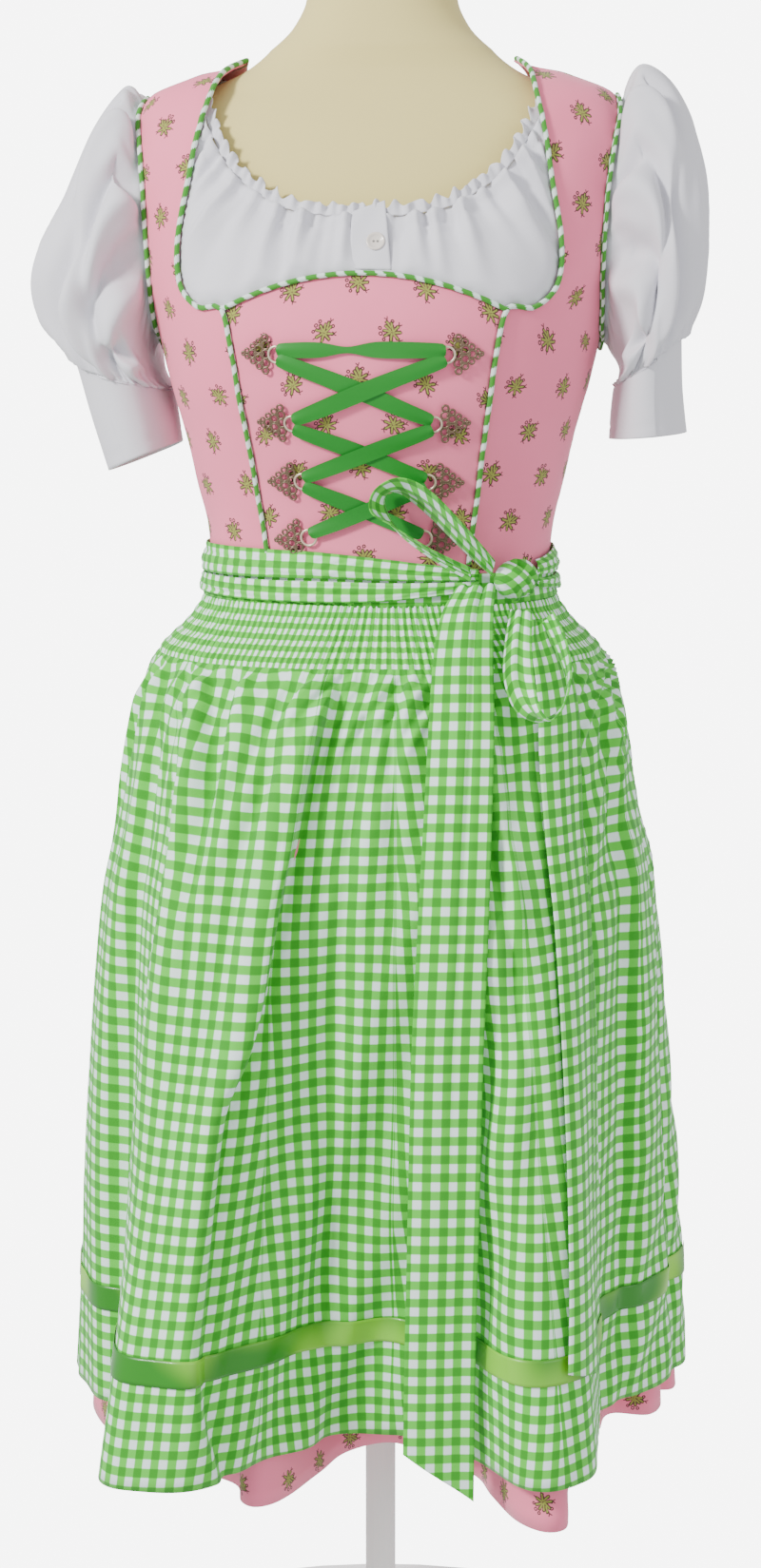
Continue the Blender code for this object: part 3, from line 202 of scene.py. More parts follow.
# Apron ties, as stretches round the waist: bearing, middle height and height of the band
Tie = namedtuple("Tie", "deg z height")
TIE_FRONT_UPPER = table(
    Tie, (-92, 1013, 24), (-60, 1014, 23), (-30, 1014, 21), (5, 1011, 17), (33, 1007.5, 12), (44, 1006, 10),
)
TIE_FRONT_LOWER = table(
    Tie, (-92, 991.5, 16), (-60, 992, 17), (-25, 992.5, 17), (5, 993, 15), (33, 995.5, 10), (44, 997, 7),
)
TIE_BACK_UPPER = table(
    Tie, (68, 1009, 13), (92, 1012, 20), (135, 1013, 22), (180, 1014, 22), (225, 1014, 23), (267.7, 1013, 24),
)
TIE_BACK_LOWER = table(
    Tie, (68, 995.5, 9), (92, 992, 15), (135, 991.5, 16), (180, 991.5, 17), (225, 991.5, 17),
    (267.7, 991.5, 16),
)
WAISTBAND = table(Tie, (-107, 994, 26), (103, 994, 26))
KNOT_CENTRE = (112, -92, 1003)
KNOT_DEG = 51
KNOT_SIZE = (20, 12.5, 15)     # half sizes along the waist, out from it, and up

# Bands of the bow: middle of the band and the vector across its half width
BandRow = namedtuple("BandRow", "x y z across")
LOOP_UPPER = table(
    BandRow, (96, -107, 1012, (2, -7, 7)), (76, -125, 1035, (2, -13, 10)), (50, -136, 1062, (2, -17, 10)),
    (29, -139, 1074, (1, -18, 7)), (15, -138, 1069, (-3, -18, 3)), (14, -137, 1056, (-5, -17, 1)),
    (27, -134, 1042, (-1, -16, 4)), (53, -127, 1024, (0, -14, 5)), (80, -117, 1009, (0, -8, 5)),
)
LOOP_LOWER = table(
    BandRow, (118, -117, 982, (8, 1, 0)), (117, -138, 958, (10, 1, 0)), (119, -156, 934, (11, 3, 1)),
    (127, -166, 915, (9, -9, 2)), (139, -167, 907, (5, -14, 2)), (151, -160, 915, (2, -15, 4)),
    (155, -149, 934, (2, -14, 6)), (149, -134, 955, (4, -12, 7)), (138, -117, 977, (5, -8, 6)),
)
TAIL_LONG = table(
    BandRow, (84, -112, 1000, (14, 3, 0)), (79, -131, 982, (19, 3, 0)), (77, -146, 950, (22, 3, 0)),
    (77, -160, 905, (24, 3, 0)), (76, -176, 840, (25, 3, 0)), (74, -191, 760, (26, 3, 0)),
    (71, -203, 660, (26.5, 3, 0)), (69, -209, 540, (26.5, 3, 0)), (67, -211, 430, (26.5, 3, 0)),
    (66, -211, 335, (26.5, 3, -19)),
)
# The short tail lies on the apron: where its middle runs, as the apron's bearing at the hem, half its width
# in degrees, how far it stands off the apron, and how much lower its far edge is than its near edge
TailRow = namedtuple("TailRow", "z hem_deg half_deg out slant")
TAIL_SHORT = table(
    TailRow, (972, 50, 4, 17, 0), (940, 48.5, 6, 10, 0), (880, 47.5, 6.6, 6, 0), (800, 47, 6.2, 5, 0),
    (700, 46.5, 5.9, 4.5, 0), (600, 45.5, 5.8, 4.5, 0), (500, 43.5, 5.5, 4.5, 0), (418, 41.5, 5.3, 4.5, 7.5),
)


# ---------------------------------------------------------------- smooth curves

def table_at(rows, key):
    """The values of a table between its rows, on a smooth curve that never swings past them."""
    keys = [row[0] for row in rows]
    key = min(max(key, keys[0]), keys[-1])
    low = max(i for i in range(len(keys) - 1) if keys[i] <= key)

    def slope(i, column):
        return (rows[i + 1][column] - rows[i][column]) / (keys[i + 1] - keys[i])

    def tangent(i, column):
        if i == 0 or i == len(keys) - 1:
            return slope(min(i, len(keys) - 2), column)
        before, after = slope(i - 1, column), slope(i, column)
        return 2 * before * after / (before + after) if before * after > 0 else 0.0

    width = keys[low + 1] - keys[low]
    t = (key - keys[low]) / width
    return [
        hermite(rows[low][c], rows[low + 1][c], tangent(low, c) * width, tangent(low + 1, c) * width, t)
        for c in range(1, len(rows[0]))
    ]


def hermite(start, end, start_slope, end_slope, t):
    return (
        start * (2 * t**3 - 3 * t**2 + 1) + start_slope * (t**3 - 2 * t**2 + t)
        + end * (3 * t**2 - 2 * t**3) + end_slope * (t**3 - t**2)
    )


def spline(data, places, closed=False):
    """Values at fractional indices along the first axis of the data."""
    data = np.asarray(data, float)
    count = len(data)
    low = np.clip(np.floor(places).astype(int), 0, count - 1 if closed else count - 2)
    t = (np.asarray(places) - low).reshape((-1,) + (1,) * (data.ndim - 1))

    def at(i):
        return data[i % count] if closed else data[np.clip(i, 0, count - 1)]

    start, end = at(low), at(low + 1)
    return hermite(start, end, (end - at(low - 1)) / 2, (at(low + 2) - start) / 2, t)


def resample(grid, rows, columns, closed=False):
    """A finer grid through the same points. A closed grid's columns run round without a double one."""
    grid = np.asarray(grid, float)
    down = spline(grid, np.linspace(0, len(grid) - 1, rows))
    across = np.swapaxes(down, 0, 1)
    count = len(across)
    places = np.arange(columns) * count / columns if closed else np.linspace(0, count - 1, columns)
    return np.swapaxes(spline(across, places, closed), 0, 1)


def lengths(points):
    """Distance travelled along each row of points."""
    steps = np.linalg.norm(np.diff(points, axis=-2), axis=-1)
    start = np.zeros(steps.shape[:-1] + (1,))
    return np.concatenate([start, np.cumsum(steps, axis=-1)], axis=-1)


def evenly(points, count, closed=False):
    """count + 1 fractional indices evenly spaced along the smooth curve through the points."""
    last = len(points) if closed else len(points) - 1
    places = np.linspace(0, last, 40 * len(points))
    travelled = lengths(spline(points, places, closed))
    return np.interp(np.linspace(0, travelled[-1], count + 1), travelled, places)


def soft_step(x, low, high):
    t = np.clip((x - low) / (high - low), 0, 1)
    return t * t * (3 - 2 * t)


def hump(x, middle, width):
    """A bell shape, 1 at its middle."""
    return np.exp(-(((x - middle) / width) ** 2))


def full_turn(count):
    return 2 * math.pi * np.arange(count) / count


def drops(grid):
    """Distance travelled down each column of a grid."""
    return lengths(np.swapaxes(grid, 0, 1)).T


def ring_of(grid, closed):
    """The grid with its first column again at the end where it runs round."""
    return np.concatenate([grid, grid[:, :1]], axis=1) if closed else grid


def wander(x, wavelength, seed, parts=4):
    """An uneven wave between about -1 and 1, made of a few waves of like length."""
    rng = random.Random(seed)
    total = 0
    for _ in range(parts):
        total = total + np.sin(x * 2 * math.pi / (wavelength * rng.uniform(0.72, 1.45)) + rng.uniform(0, 6.3))
    return total / parts * 1.4


def ripple(x, height, wavelength, seed):
    """An uneven wave, with its height and wavelength in millimetres."""
    return height * MM * wander(x, wavelength * MM, seed)


# ---------------------------------------------------------------- shells

def normals_of(grid, closed=False, centre=(0, 0)):
    """The direction out of the cloth at each point: away from an upright axis at centre."""
    grid = np.asarray(grid)
    down = np.gradient(grid, axis=0)
    if closed:
        along = np.roll(grid, -1, axis=1) - np.roll(grid, 1, axis=1)
    else:
        along = np.gradient(grid, axis=1)
    normal = np.cross(down, along)
    normal /= np.maximum(np.linalg.norm(normal, axis=-1, keepdims=True), 1e-12)
    radial = grid[..., :2] - np.asarray(centre)
    if (normal[..., :2] * radial).sum() < 0:
        normal = -normal
    return normal


def raised(grid, height, closed=False, centre=(0, 0)):
    return grid + normals_of(grid, closed, centre) * np.asarray(height)[..., None]


def add_mesh(name, points, faces, cloth, node):
    mesh = bpy.data.meshes.new(name)
    mesh.from_pydata(points, [], faces)
    mesh.shade_smooth()
    mesh.materials.append(cloth.material)
    made = bpy.data.objects.new(name, mesh)
    bpy.context.scene.collection.objects.link(made)
    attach(made, "root")
    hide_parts(node)
    return made


def make_shell(
    name, grid, uv, cloth, thickness=0.0, node=None, closed=False, centre=(0, 0), lower_uv=None, lower_from=0,
    rim=True,
):
    """A shell of cloth on a grid, for the node of its own name if no other is given. uv is in metres along
    the cloth, with one more column where the grid is closed. lower_uv takes over at row lower_from."""
    grid = np.asarray(grid)
    rows, columns = grid.shape[:2]
    turns = columns if closed else columns - 1
    i, j = np.meshgrid(np.arange(rows - 1), np.arange(turns), indexing="ij")
    i, j = i.ravel(), j.ravel()

    def corners_of(values, after):
        return np.stack([values[i, j], values[i, after], values[i + 1, after], values[i + 1, j]], axis=1)

    quads = corners_of(np.arange(rows * columns).reshape(rows, columns), (j + 1) % columns)
    corners = corners_of(uv, j + 1)
    if lower_uv is not None:
        corners = np.where((i >= lower_from)[:, None, None], corners_of(lower_uv, j + 1), corners)
    corner_points = grid.reshape(-1, 3)[quads]
    facing = np.cross(corner_points[:, 2] - corner_points[:, 0], corner_points[:, 3] - corner_points[:, 1])
    if (facing[:, :2] * (corner_points[:, 0, :2] - np.asarray(centre))).sum() < 0:
        quads, corners = quads[:, ::-1], corners[:, ::-1]
    made = add_mesh(f"{name}_look", grid.reshape(-1, 3).tolist(), quads.tolist(), cloth, node or name)
    made.data.uv_layers.new(name="cloth").data.foreach_set("uv", corners.reshape(-1))
    if thickness:
        solidify = made.modifiers.new("thickness", "SOLIDIFY")
        solidify.thickness = thickness
        solidify.offset = -1
        solidify.use_rim = rim
    return made


def make_tube(name, path, outward, radius, sides, cloth, closed=False):
    """A round cord with its length as the first UV direction and its girth as the second."""
    path, outward = np.asarray(path), np.asarray(outward)
    if closed:
        along = np.roll(path, -1, axis=0) - np.roll(path, 1, axis=0)
    else:
        along = np.gradient(path, axis=0)
    along /= np.linalg.norm(along, axis=1, keepdims=True)
    side = np.cross(along, outward)
    side /= np.linalg.norm(side, axis=1, keepdims=True)
    up = np.cross(side, along)
    turns = full_turn(sides)[:, None, None]
    grid = path + radius * (side * np.cos(turns) + up * np.sin(turns))
    travelled = lengths(np.concatenate([path, path[:1]]) if closed else path)
    u = np.tile(travelled, (sides + 1, 1))
    v = np.tile((np.arange(sides + 1) / sides)[:, None], (1, u.shape[1]))
    uv = np.stack([u, v], axis=-1)
    grid = np.concatenate([grid, grid[:1]], axis=0)
    make_shell(name, grid, uv, cloth, closed=closed)


# ---------------------------------------------------------------- the figure that the clothes are cut for

def section_reach(half_width, front, back, degrees):
    """How far a section of the figure reaches at a bearing from the front."""
    across, ahead = np.abs(np.sin(np.radians(degrees))), np.cos(np.radians(degrees))
    depth = np.where(ahead > 0, front, back)
    return ((across / half_width) ** ROUNDNESS + (np.abs(ahead) / depth) ** ROUNDNESS) ** (-1 / ROUNDNESS)


def torso_point(degrees, z):
    half_width, front, back, centre_y = table_at(TORSO, z)
    reach, turn = section_reach(half_width, front, back, degrees), math.radians(degrees)
    return Vector((reach * math.sin(turn), centre_y - reach * math.cos(turn), z)) * MM


FINE_COLUMNS = 160
FINE_LEVELS = [
    low.z + (high.z - low.z) * k / 6 for low, high in zip(TORSO, TORSO[1:]) for k in range(6)
] + [TORSO[-1].z]
FINE_BEARINGS = [360 * j / FINE_COLUMNS for j in range(FINE_COLUMNS)]
FIGURE = np.array([[torso_point(degrees, z) for degrees in FINE_BEARINGS] for z in FINE_LEVELS])
FIGURE_NORMALS = normals_of(FIGURE, True)
FINE_POINTS = [Vector(p) for p in FIGURE.reshape(-1, 3)]
FINE_NORMALS = [Vector(n) for n in FIGURE_NORMALS.reshape(-1, 3)]
FINE_TRIANGLES = [
    corner
    for i in range(len(FINE_LEVELS) - 1)
    for j in range(FINE_COLUMNS)
    for a, b in [(i * FINE_COLUMNS + j, i * FINE_COLUMNS + (j + 1) % FINE_COLUMNS)]
    for corner in ((a, b, b + FINE_COLUMNS), (a, b + FINE_COLUMNS, a + FINE_COLUMNS))
]
FIGURE_TREE = BVHTree.FromPolygons(FINE_POINTS, FINE_TRIANGLES)


def figure_normal(place, triangle):
    corners = [FINE_POINTS[c] for c in FINE_TRIANGLES[triangle]]
    normals = [FINE_NORMALS[c] for c in FINE_TRIANGLES[triangle]]
    return barycentric_transform(place, *corners, *normals).normalized()


def on_form(point, out=0.0):
    """The nearest point of the figure, moved out, and the direction out there."""
    place, _, triangle, _ = FIGURE_TREE.find_nearest(Vector(point))
    normal = figure_normal(place, triangle)
    return place + normal * out, normal


def on_front(x, z, out=0.0, side=-1):
    place, _, triangle, _ = FIGURE_TREE.ray_cast(Vector((x, side, z)), Vector((0, -side, 0)))
    return place + figure_normal(place, triangle) * out


def laid(grid, out=0.0):
    """Every point of a grid moved to the figure and then out: one distance for all, or one for each point."""
    out = np.broadcast_to(out, np.shape(grid)[:-1])
    return np.array([
        [on_form(p, float(h))[0] for p, h in zip(row, heights)] for row, heights in zip(grid, out)
    ])


def around(degrees, z, out):
    return on_form(torso_point(degrees, z / MM), out)[0]


# ---------------------------------------------------------------- materials

class Value:
    """A number in a shader. Sums of such numbers write a pattern as maths nodes."""

    def __init__(self, tree, socket):
        self.tree, self.socket = tree, socket

    def op(self, kind, *others):
        node = self.tree.nodes.new("ShaderNodeMath")
        node.operation = kind
        for slot_number, value in enumerate((self, *others)):
            if isinstance(value, Value):
                self.tree.links.new(value.socket, node.inputs[slot_number])
            else:
                node.inputs[slot_number].default_value = value
        return Value(self.tree, node.outputs[0])

    def __add__(self, other):
        return self.op("ADD", other)

    def __sub__(self, other):
        return self.op("SUBTRACT", other)

    def __mul__(self, other):
        return self.op("MULTIPLY", other)

    def __truediv__(self, other):
        return self.op("DIVIDE", other)

    def below(self, edge, soft):
        """1 where this is under the edge, falling to 0 over the soft width round it."""
        node = self.tree.nodes.new("ShaderNodeMapRange")
        node.interpolation_type = "SMOOTHSTEP"
        self.tree.links.new(self.socket, node.inputs["Value"])
        limits = {"From Min": edge - soft, "From Max": edge + soft, "To Min": 1, "To Max": 0}
        for key, value in limits.items():
            node.inputs[key].default_value = value
        return Value(self.tree, node.outputs[0])


class Cloth:
    """A cloth's shader, with its lengths in metres as u and v."""

    def __init__(self, name, slot, colour, roughness, sheen=0.0, metallic=0.0, coat=0.0):
        self.slot = slot
        self.material = bpy.data.materials.new(name)
        self.material.use_nodes = True
        self.tree = self.material.node_tree
        self.shader = self.tree.nodes["Principled BSDF"]
        self.set("Base Color", (*colour, 1))
        self.set("Roughness", roughness)
        self.set("Metallic", metallic)
        self.set("Sheen Weight", sheen)
        self.set("Coat Weight", coat)
        place = self.tree.nodes.new("ShaderNodeUVMap")
        place.uv_map = "cloth"
        self.place = place.outputs[0]
        split = self.tree.nodes.new("ShaderNodeSeparateXYZ")
        self.tree.links.new(self.place, split.inputs[0])
        self.u, self.v = Value(self.tree, split.outputs[0]), Value(self.tree, split.outputs[1])

    def set(self, key, value):
        self.shader.inputs[key].default_value = value

    def link(self, key, socket):
        self.tree.links.new(socket, self.shader.inputs[key])

    def noise(self, wavelength, detail=2.0):
        node = self.tree.nodes.new("ShaderNodeTexNoise")
        self.tree.links.new(self.place, node.inputs["Vector"])
        node.inputs["Scale"].default_value = 1 / wavelength
        node.inputs["Detail"].default_value = detail
        return Value(self.tree, node.outputs["Fac"])

    def blend(self, share, below, above):
        """A colour between two, each a colour or the output of another blend."""
        node = self.tree.nodes.new("ShaderNodeMix")
        node.data_type = "RGBA"
        self.tree.links.new(share.socket, node.inputs["Factor"])
        for key, value in (("A", below), ("B", above)):
            target = next(i for i in node.inputs if i.name == key and i.type == "RGBA")
            if isinstance(value, tuple):
                target.default_value = (*value, 1)
            else:
                self.tree.links.new(value, target)
        return next(o for o in node.outputs if o.type == "RGBA")

    def weave(self, size, depth=0.3 * MM, strength=0.3):
        node = self.tree.nodes.new("ShaderNodeBump")
        node.inputs["Distance"].default_value = depth
        node.inputs["Strength"].default_value = strength
        self.tree.links.new(self.noise(size).socket, node.inputs["Height"])
        self.link("Normal", node.outputs["Normal"])


def gingham(name, slot, width, height, full, half, white):
    """Checks of that width and height: full colour where both stripes cross, half where one runs."""
    cloth = Cloth(name, slot, full, 0.85, sheen=0.15)

    def stripe(along, pitch):
        return (along / pitch).op("PINGPONG", 0.5).below(0.25, 0.035)

    both = stripe(cloth.u, width) + stripe(cloth.v, height)
    over_white = cloth.blend(both.op("MINIMUM", 1.0), white, half)
    crossed = (both - 1.0).op("MAXIMUM", 0.0)
    cloth.link("Base Color", cloth.blend(crossed, over_white, full))
    cloth.weave(0.8 * MM, strength=0.35)
    return cloth


def bias_cord(name, slot, pitch, share, green, white):
    """A cord in checked cloth cut on the bias: slanted dashes along its length."""
    cloth = Cloth(name, slot, green, 0.85, sheen=0.15)
    along = (cloth.u + cloth.v * 0.007 + (cloth.noise(0.05) - 0.5) * 0.006) / pitch
    cloth.link("Base Color", cloth.blend(along.op("PINGPONG", 0.5).below(share / 2, 0.03), white, green))
    cloth.weave(0.8 * MM, strength=0.35)
    return cloth


# Marks of the posy, in millimetres from its middle: fat green leaves and thin brown twigs, each from one
# end to the other, and small brown rings
Stroke = namedtuple("Stroke", "x y to_x to_y")
LEAVES = table(
    Stroke, (0, 0, 0.5, 6.5), (1, -0.5, 5.5, 4.5), (1.5, -1, 7.2, -1.5), (0.5, -2, 4.5, -6),
    (-0.5, -2, -1.5, -7.5), (-1.5, -1, -6.5, -3.8), (-1.5, 0.5, -6.8, 2.2), (-1, 1.5, -3.6, 5.6),
    (2.5, 3, 3.6, 7.8),
)
TWIGS = table(
    Stroke, (4, 8, 7.5, 10.5), (5.5, 9, 5, 11.5), (7, -1.5, 10.5, -3), (8.5, -2, 10.5, 0),
    (-1.5, -7.5, -3, -11), (-2, -9.5, 0.5, -11), (-6.5, -4, -9.5, -5.5),
)
RingMark = namedtuple("RingMark", "x y radius")
RING_MARKS = table(RingMark, (-7.6, 6.2, 1.35), (-4.2, 9.4, 1.2), (7.4, 4.8, 1.2), (-9.8, 1.2, 1.1))
LEAF_WIDTH, TWIG_WIDTH = 2.8, 0.9
POSY_UNIT = 0.86 * MM
POSY_ACROSS, POSY_DOWN = 50 * MM, 70 * MM     # every second row is shifted by half of both
POSY_TURN = 1.9                               # radians between the least and the most turned posy


def posy_print(name, slot, ground, shade, petal, petal_light, brown):
    """Posies on a plain ground in rows shifted by half, each one turned a little differently."""
    cloth = Cloth(name, slot, ground, 0.88, sheen=0.15)

    def cell(along, pitch, shift):
        counted = along / pitch + shift
        number = counted.op("FLOOR")
        return (counted - number - 0.5) * pitch, number

    halves = []
    for shift in (0.0, 0.5):
        x, column = cell(cloth.u, POSY_ACROSS, shift)
        y, row = cell(cloth.v, POSY_DOWN, shift)
        halves.append((x, y, column * 7.3 + row * 3.7 + shift))
    far = [x * x + y * y for x, y, _ in halves]
    second = far[1].op("LESS_THAN", far[0])

    def pick(first, other):
        return first + (other - first) * second

    x, y, seed = (pick(a, b) for a, b in zip(*halves))
    turn = ((seed.op("SINE") * 43.7).op("FRACT") - 0.5) * POSY_TURN
    cos, sin = turn.op("COSINE"), turn.op("SINE")
    x, y = (x * cos - y * sin) / POSY_UNIT, (x * sin + y * cos) / POSY_UNIT
    ragged = (cloth.noise(0.0014) - 0.5) * 1.5

    def distance(dx, dy):
        return (dx * dx + dy * dy).op("SQRT")

    def from_stroke(mark):
        run, rise = mark.to_x - mark.x, mark.to_y - mark.y
        length = math.hypot(run, rise)
        along = (x - mark.x) * (run / length) + (y - mark.y) * (rise / length)
        along = along.op("MAXIMUM", 0.0).op("MINIMUM", length)
        return distance(x - mark.x - along * (run / length), y - mark.y - along * (rise / length))

    def nearest(parts):
        total = parts[0]
        for part in parts[1:]:
            total = total.op("MINIMUM", part)
        return total

    leaf = nearest([from_stroke(mark) for mark in LEAVES]) + ragged
    twig = nearest([from_stroke(mark) for mark in TWIGS])
    ring = nearest([(distance(x - m.x, y - m.y) - m.radius).op("ABSOLUTE") for m in RING_MARKS])
    flower = leaf.below(LEAF_WIDTH / 2, 0.3)
    lines = twig.below(TWIG_WIDTH / 2, 0.25).op("MAXIMUM", ring.below(0.5, 0.25))
    hearts = leaf.below(LEAF_WIDTH / 5, 0.45)
    outline = (leaf - LEAF_WIDTH / 2).op("ABSOLUTE").below(0.4, 0.25) * cloth.noise(0.004).below(0.58, 0.08)
    colour = cloth.blend(cloth.noise(0.06), ground, shade)
    colour = cloth.blend(lines, colour, brown)
    colour = cloth.blend(flower * 0.9, colour, petal)
    colour = cloth.blend(hearts, colour, petal_light)
    colour = cloth.blend(outline, colour, brown)
    cloth.link("Base Color", colour)
    cloth.weave(0.8 * MM)
    return cloth


GREEN, HALF_GREEN, CHECK_WHITE = (0.018, 0.29, 0.0012), (0.085, 0.56, 0.035), (0.74, 0.88, 0.85)
APRON_CHECK = gingham("apron check", "green_check", 13.1 * MM, 13.7 * MM, GREEN, HALF_GREEN, CHECK_WHITE)
PIPING_CHECK = bias_cord(
    "piping check", "check_piping", 14.5 * MM, 0.6, green=(0.035, 0.26, 0.012), white=(0.66, 0.78, 0.72)
)
PINK_PRINT = posy_print(
    "pink print", "pink_print", ground=(0.9, 0.215, 0.34), shade=(0.84, 0.18, 0.3),
    petal=(0.055, 0.066, 0.006), petal_light=(0.3, 0.34, 0.05), brown=(0.04, 0.02, 0.008),
)
WHITE_COTTON = Cloth("white cotton", "white_cotton", (0.66, 0.655, 0.71), 0.8, sheen=0.2)
WHITE_COTTON.weave(0.9 * MM)
SATIN = Cloth("satin", "satin_green", (0.03, 0.3, 0.003), 0.36, coat=0.1)
# Painted highlight and shade: noise patches blend the satin between a dark and a light green in place of its
# sheen under the light.
PAINTED_HIGHLIGHT_PATCHES = SATIN.noise(0.075, 0.5).below(0.45, 0.12)
SATIN.link("Base Color", SATIN.blend(PAINTED_HIGHLIGHT_PATCHES, (0.012, 0.2, 0.001), (0.24, 0.62, 0.03)))
LACE_GREEN = Cloth("lacing", "lacing_green", (0.0002, 0.19, 0.007), 0.6)
LACE_GREEN.weave(0.7 * MM, 0.2 * MM)
FORM_FABRIC = Cloth("form fabric", "form_fabric", (0.66, 0.56, 0.22), 0.9, sheen=0.1)
FORM_FABRIC.weave(1.1 * MM, 0.4 * MM)
BRASS = Cloth("antique brass", "brass", (0.17, 0.115, 0.075), 0.36, metallic=0.6)
# Painted highlight: the hooks' eye rings are a paler brass that stands in for light on their rims.
HIGHLIT_BRASS = Cloth("brass with painted highlight", "brass", (0.62, 0.5, 0.38), 0.35, metallic=0.6)
PEARL = Cloth("shell", "pearl", (0.7, 0.64, 0.58), 0.22, coat=0.6)
# Painted shade: the button's two holes are dark discs laid on its face.
BUTTON_HOLE_SHADE = Cloth("button hole painted shade", "pearl", (0.2, 0.19, 0.18), 0.9)
LACQUER = Cloth("white lacquer", None, (0.82, 0.82, 0.8), 0.35, coat=0.3)


# ---------------------------------------------------------------- sheets and their cut

LEAST_FILL = 0.31     # the least share of its flat rectangle that a sheet may fill


def cut_of(grid, closed=False):
    """Width and length of the cloth's cut, and its area, from the grid of what shows."""
    ring = ring_of(grid, closed)
    across = lengths(ring)[:, -1]
    down = drops(ring)[-1]
    a, b = ring[1:, 1:] - ring[:-1, :-1], ring[1:, :-1] - ring[:-1, 1:]
    area = np.linalg.norm(np.cross(a, b), axis=-1).sum() / 2
    width, length = across.max(), down.max()
    return (width, length), min(max(area, LEAST_FILL * width * length), width * length)


def lengthwise_uv(grid, closed=False):
    """u is the distance along each row from its middle column, v the distance along the middle column."""
    ring = ring_of(grid, closed)
    across = lengths(ring)
    middle = ring.shape[1] // 2
    u = across - across[:, middle : middle + 1]
    v = np.broadcast_to(lengths(ring[:, middle])[:, None], u.shape)
    return np.stack([u, v], axis=-1)


def make_sheet(name, grid, cloth, thickness, held, rests_on, uv=None, closed=False, cut_from=None, **shell):
    """A shell of cloth, with its cut measured on its own grid where no other is given."""
    uv = lengthwise_uv(grid, closed) if uv is None else uv
    made = make_shell(name, grid, uv, cloth, thickness, closed=closed, **shell)
    flat, area = cut_of(grid if cut_from is None else cut_from, closed)
    return made


# ---------------------------------------------------------------- dress form

FORM_INSIDE = 1.0 * MM
# Rings of the lid, as their share of the neck's size and their rise over it
LID_RINGS = ((0.985, 1.5 * MM), (0.9, 2 * MM), (0.5, 2 * MM), (0.02, 2 * MM))


def build_form():
    """A smooth torso a little inside its solid, with a slightly raised lid on the neck and a flat bottom."""
    ease = (FORM_EASE + FORM_INSIDE) * np.clip((BARE_Z - FIGURE[..., 2]) / (BARE_Z - EASED_Z), 0, 1)
    body = FIGURE - FIGURE_NORMALS * ease[..., None]

    def shrunk(ring, share, rise=0.0):
        middle = ring.mean(axis=0)
        return middle + (ring - middle) * share + (0, 0, rise)

    rim = [shrunk(body[-1], share, rise) for share, rise in LID_RINGS]
    floor = [shrunk(body[0], share) for share in (0.02, 0.5)]
    body = np.concatenate([floor, body, rim])
    make_shell("form", body, lengthwise_uv(body, True), FORM_FABRIC, node="form_torso", closed=True)
    for name in ("form_pole", "form_base"):
        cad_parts[name].data.materials.clear()
        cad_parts[name].data.materials.append(LACQUER.material)


# ---------------------------------------------------------------- bodice

PER_RUNG = 7
PANEL_COLUMNS = 34


def ladder(rungs):
    places = np.linspace(0, len(rungs) - 1, (len(rungs) - 1) * PER_RUNG + 1)
    return [spline([Vector(getattr(r, edge)) * MM for r in rungs], places) for edge in ("centre", "outer")]


def rung_row(rungs, place):
    return next(i for i, r in enumerate(rungs) if r.place == place) * PER_RUNG


def side_panel(rungs, side, seam_y):
    centre, outer = ladder(rungs)
    seam_row = rung_row(rungs, "underarm")
    grid = []
    for i, (a, b) in enumerate(zip(centre, outer)):
        row = a + (b - a) * np.linspace(0, 1, PANEL_COLUMNS + 1)[:, None]
        if i <= seam_row:
            row[-1, 1] = seam_y
        if i == len(centre) - 1:
            row[:, 1] = seam_y
        grid.append(row)
    grid = np.array(grid)
    grid[..., 0] *= side
    return laid(grid)


def centre_panel(rungs, side, neck_rise):
    centre, _ = ladder(rungs)
    seam = [on_form(p)[0] for p in centre[: rung_row(rungs, "seam_top") + 1]]
    grid = []
    for point in seam:
        row = []
        for u in np.linspace(-1, 1, 2 * PANEL_COLUMNS + 1):
            rise = neck_rise * MM * (1 - u * u) * (point.z - seam[0].z) / (seam[-1].z - seam[0].z)
            row.append(on_front(u * (point.x - 0.0003), point.z + rise, 0, side))
        grid.append(row)
    return np.array(grid)


PUCKER_REACH = 6 * MM


def dress_relief(grid, seed):
    """Slight unevenness of fitted cloth: soft pulls between the seams, and puckers along its edges."""
    across = lengths(grid)
    share = across / across[:, -1:]
    v = drops(grid)
    pulls = ripple(v + across * 0.5, 0.45, 55, seed) * np.sin(math.pi * share)
    edge = np.minimum(across, across[:, -1:] - across)
    puckers = ripple(v, 0.35, 11, seed + 50) * np.exp(-edge / PUCKER_REACH)
    return pulls + puckers


def strap_settles(points):
    """How much closer to the form a strap lies at the neck than elsewhere."""
    points = np.asarray(points)
    beside_neck = 1 - soft_step(np.abs(points[..., 0]), 0.115, 0.142)
    return 3.6 * MM * soft_step(points[..., 2], 1.362, 1.388) * beside_neck


PRINT_SHIFT = 13 * MM     # between the prints of neighbouring panels


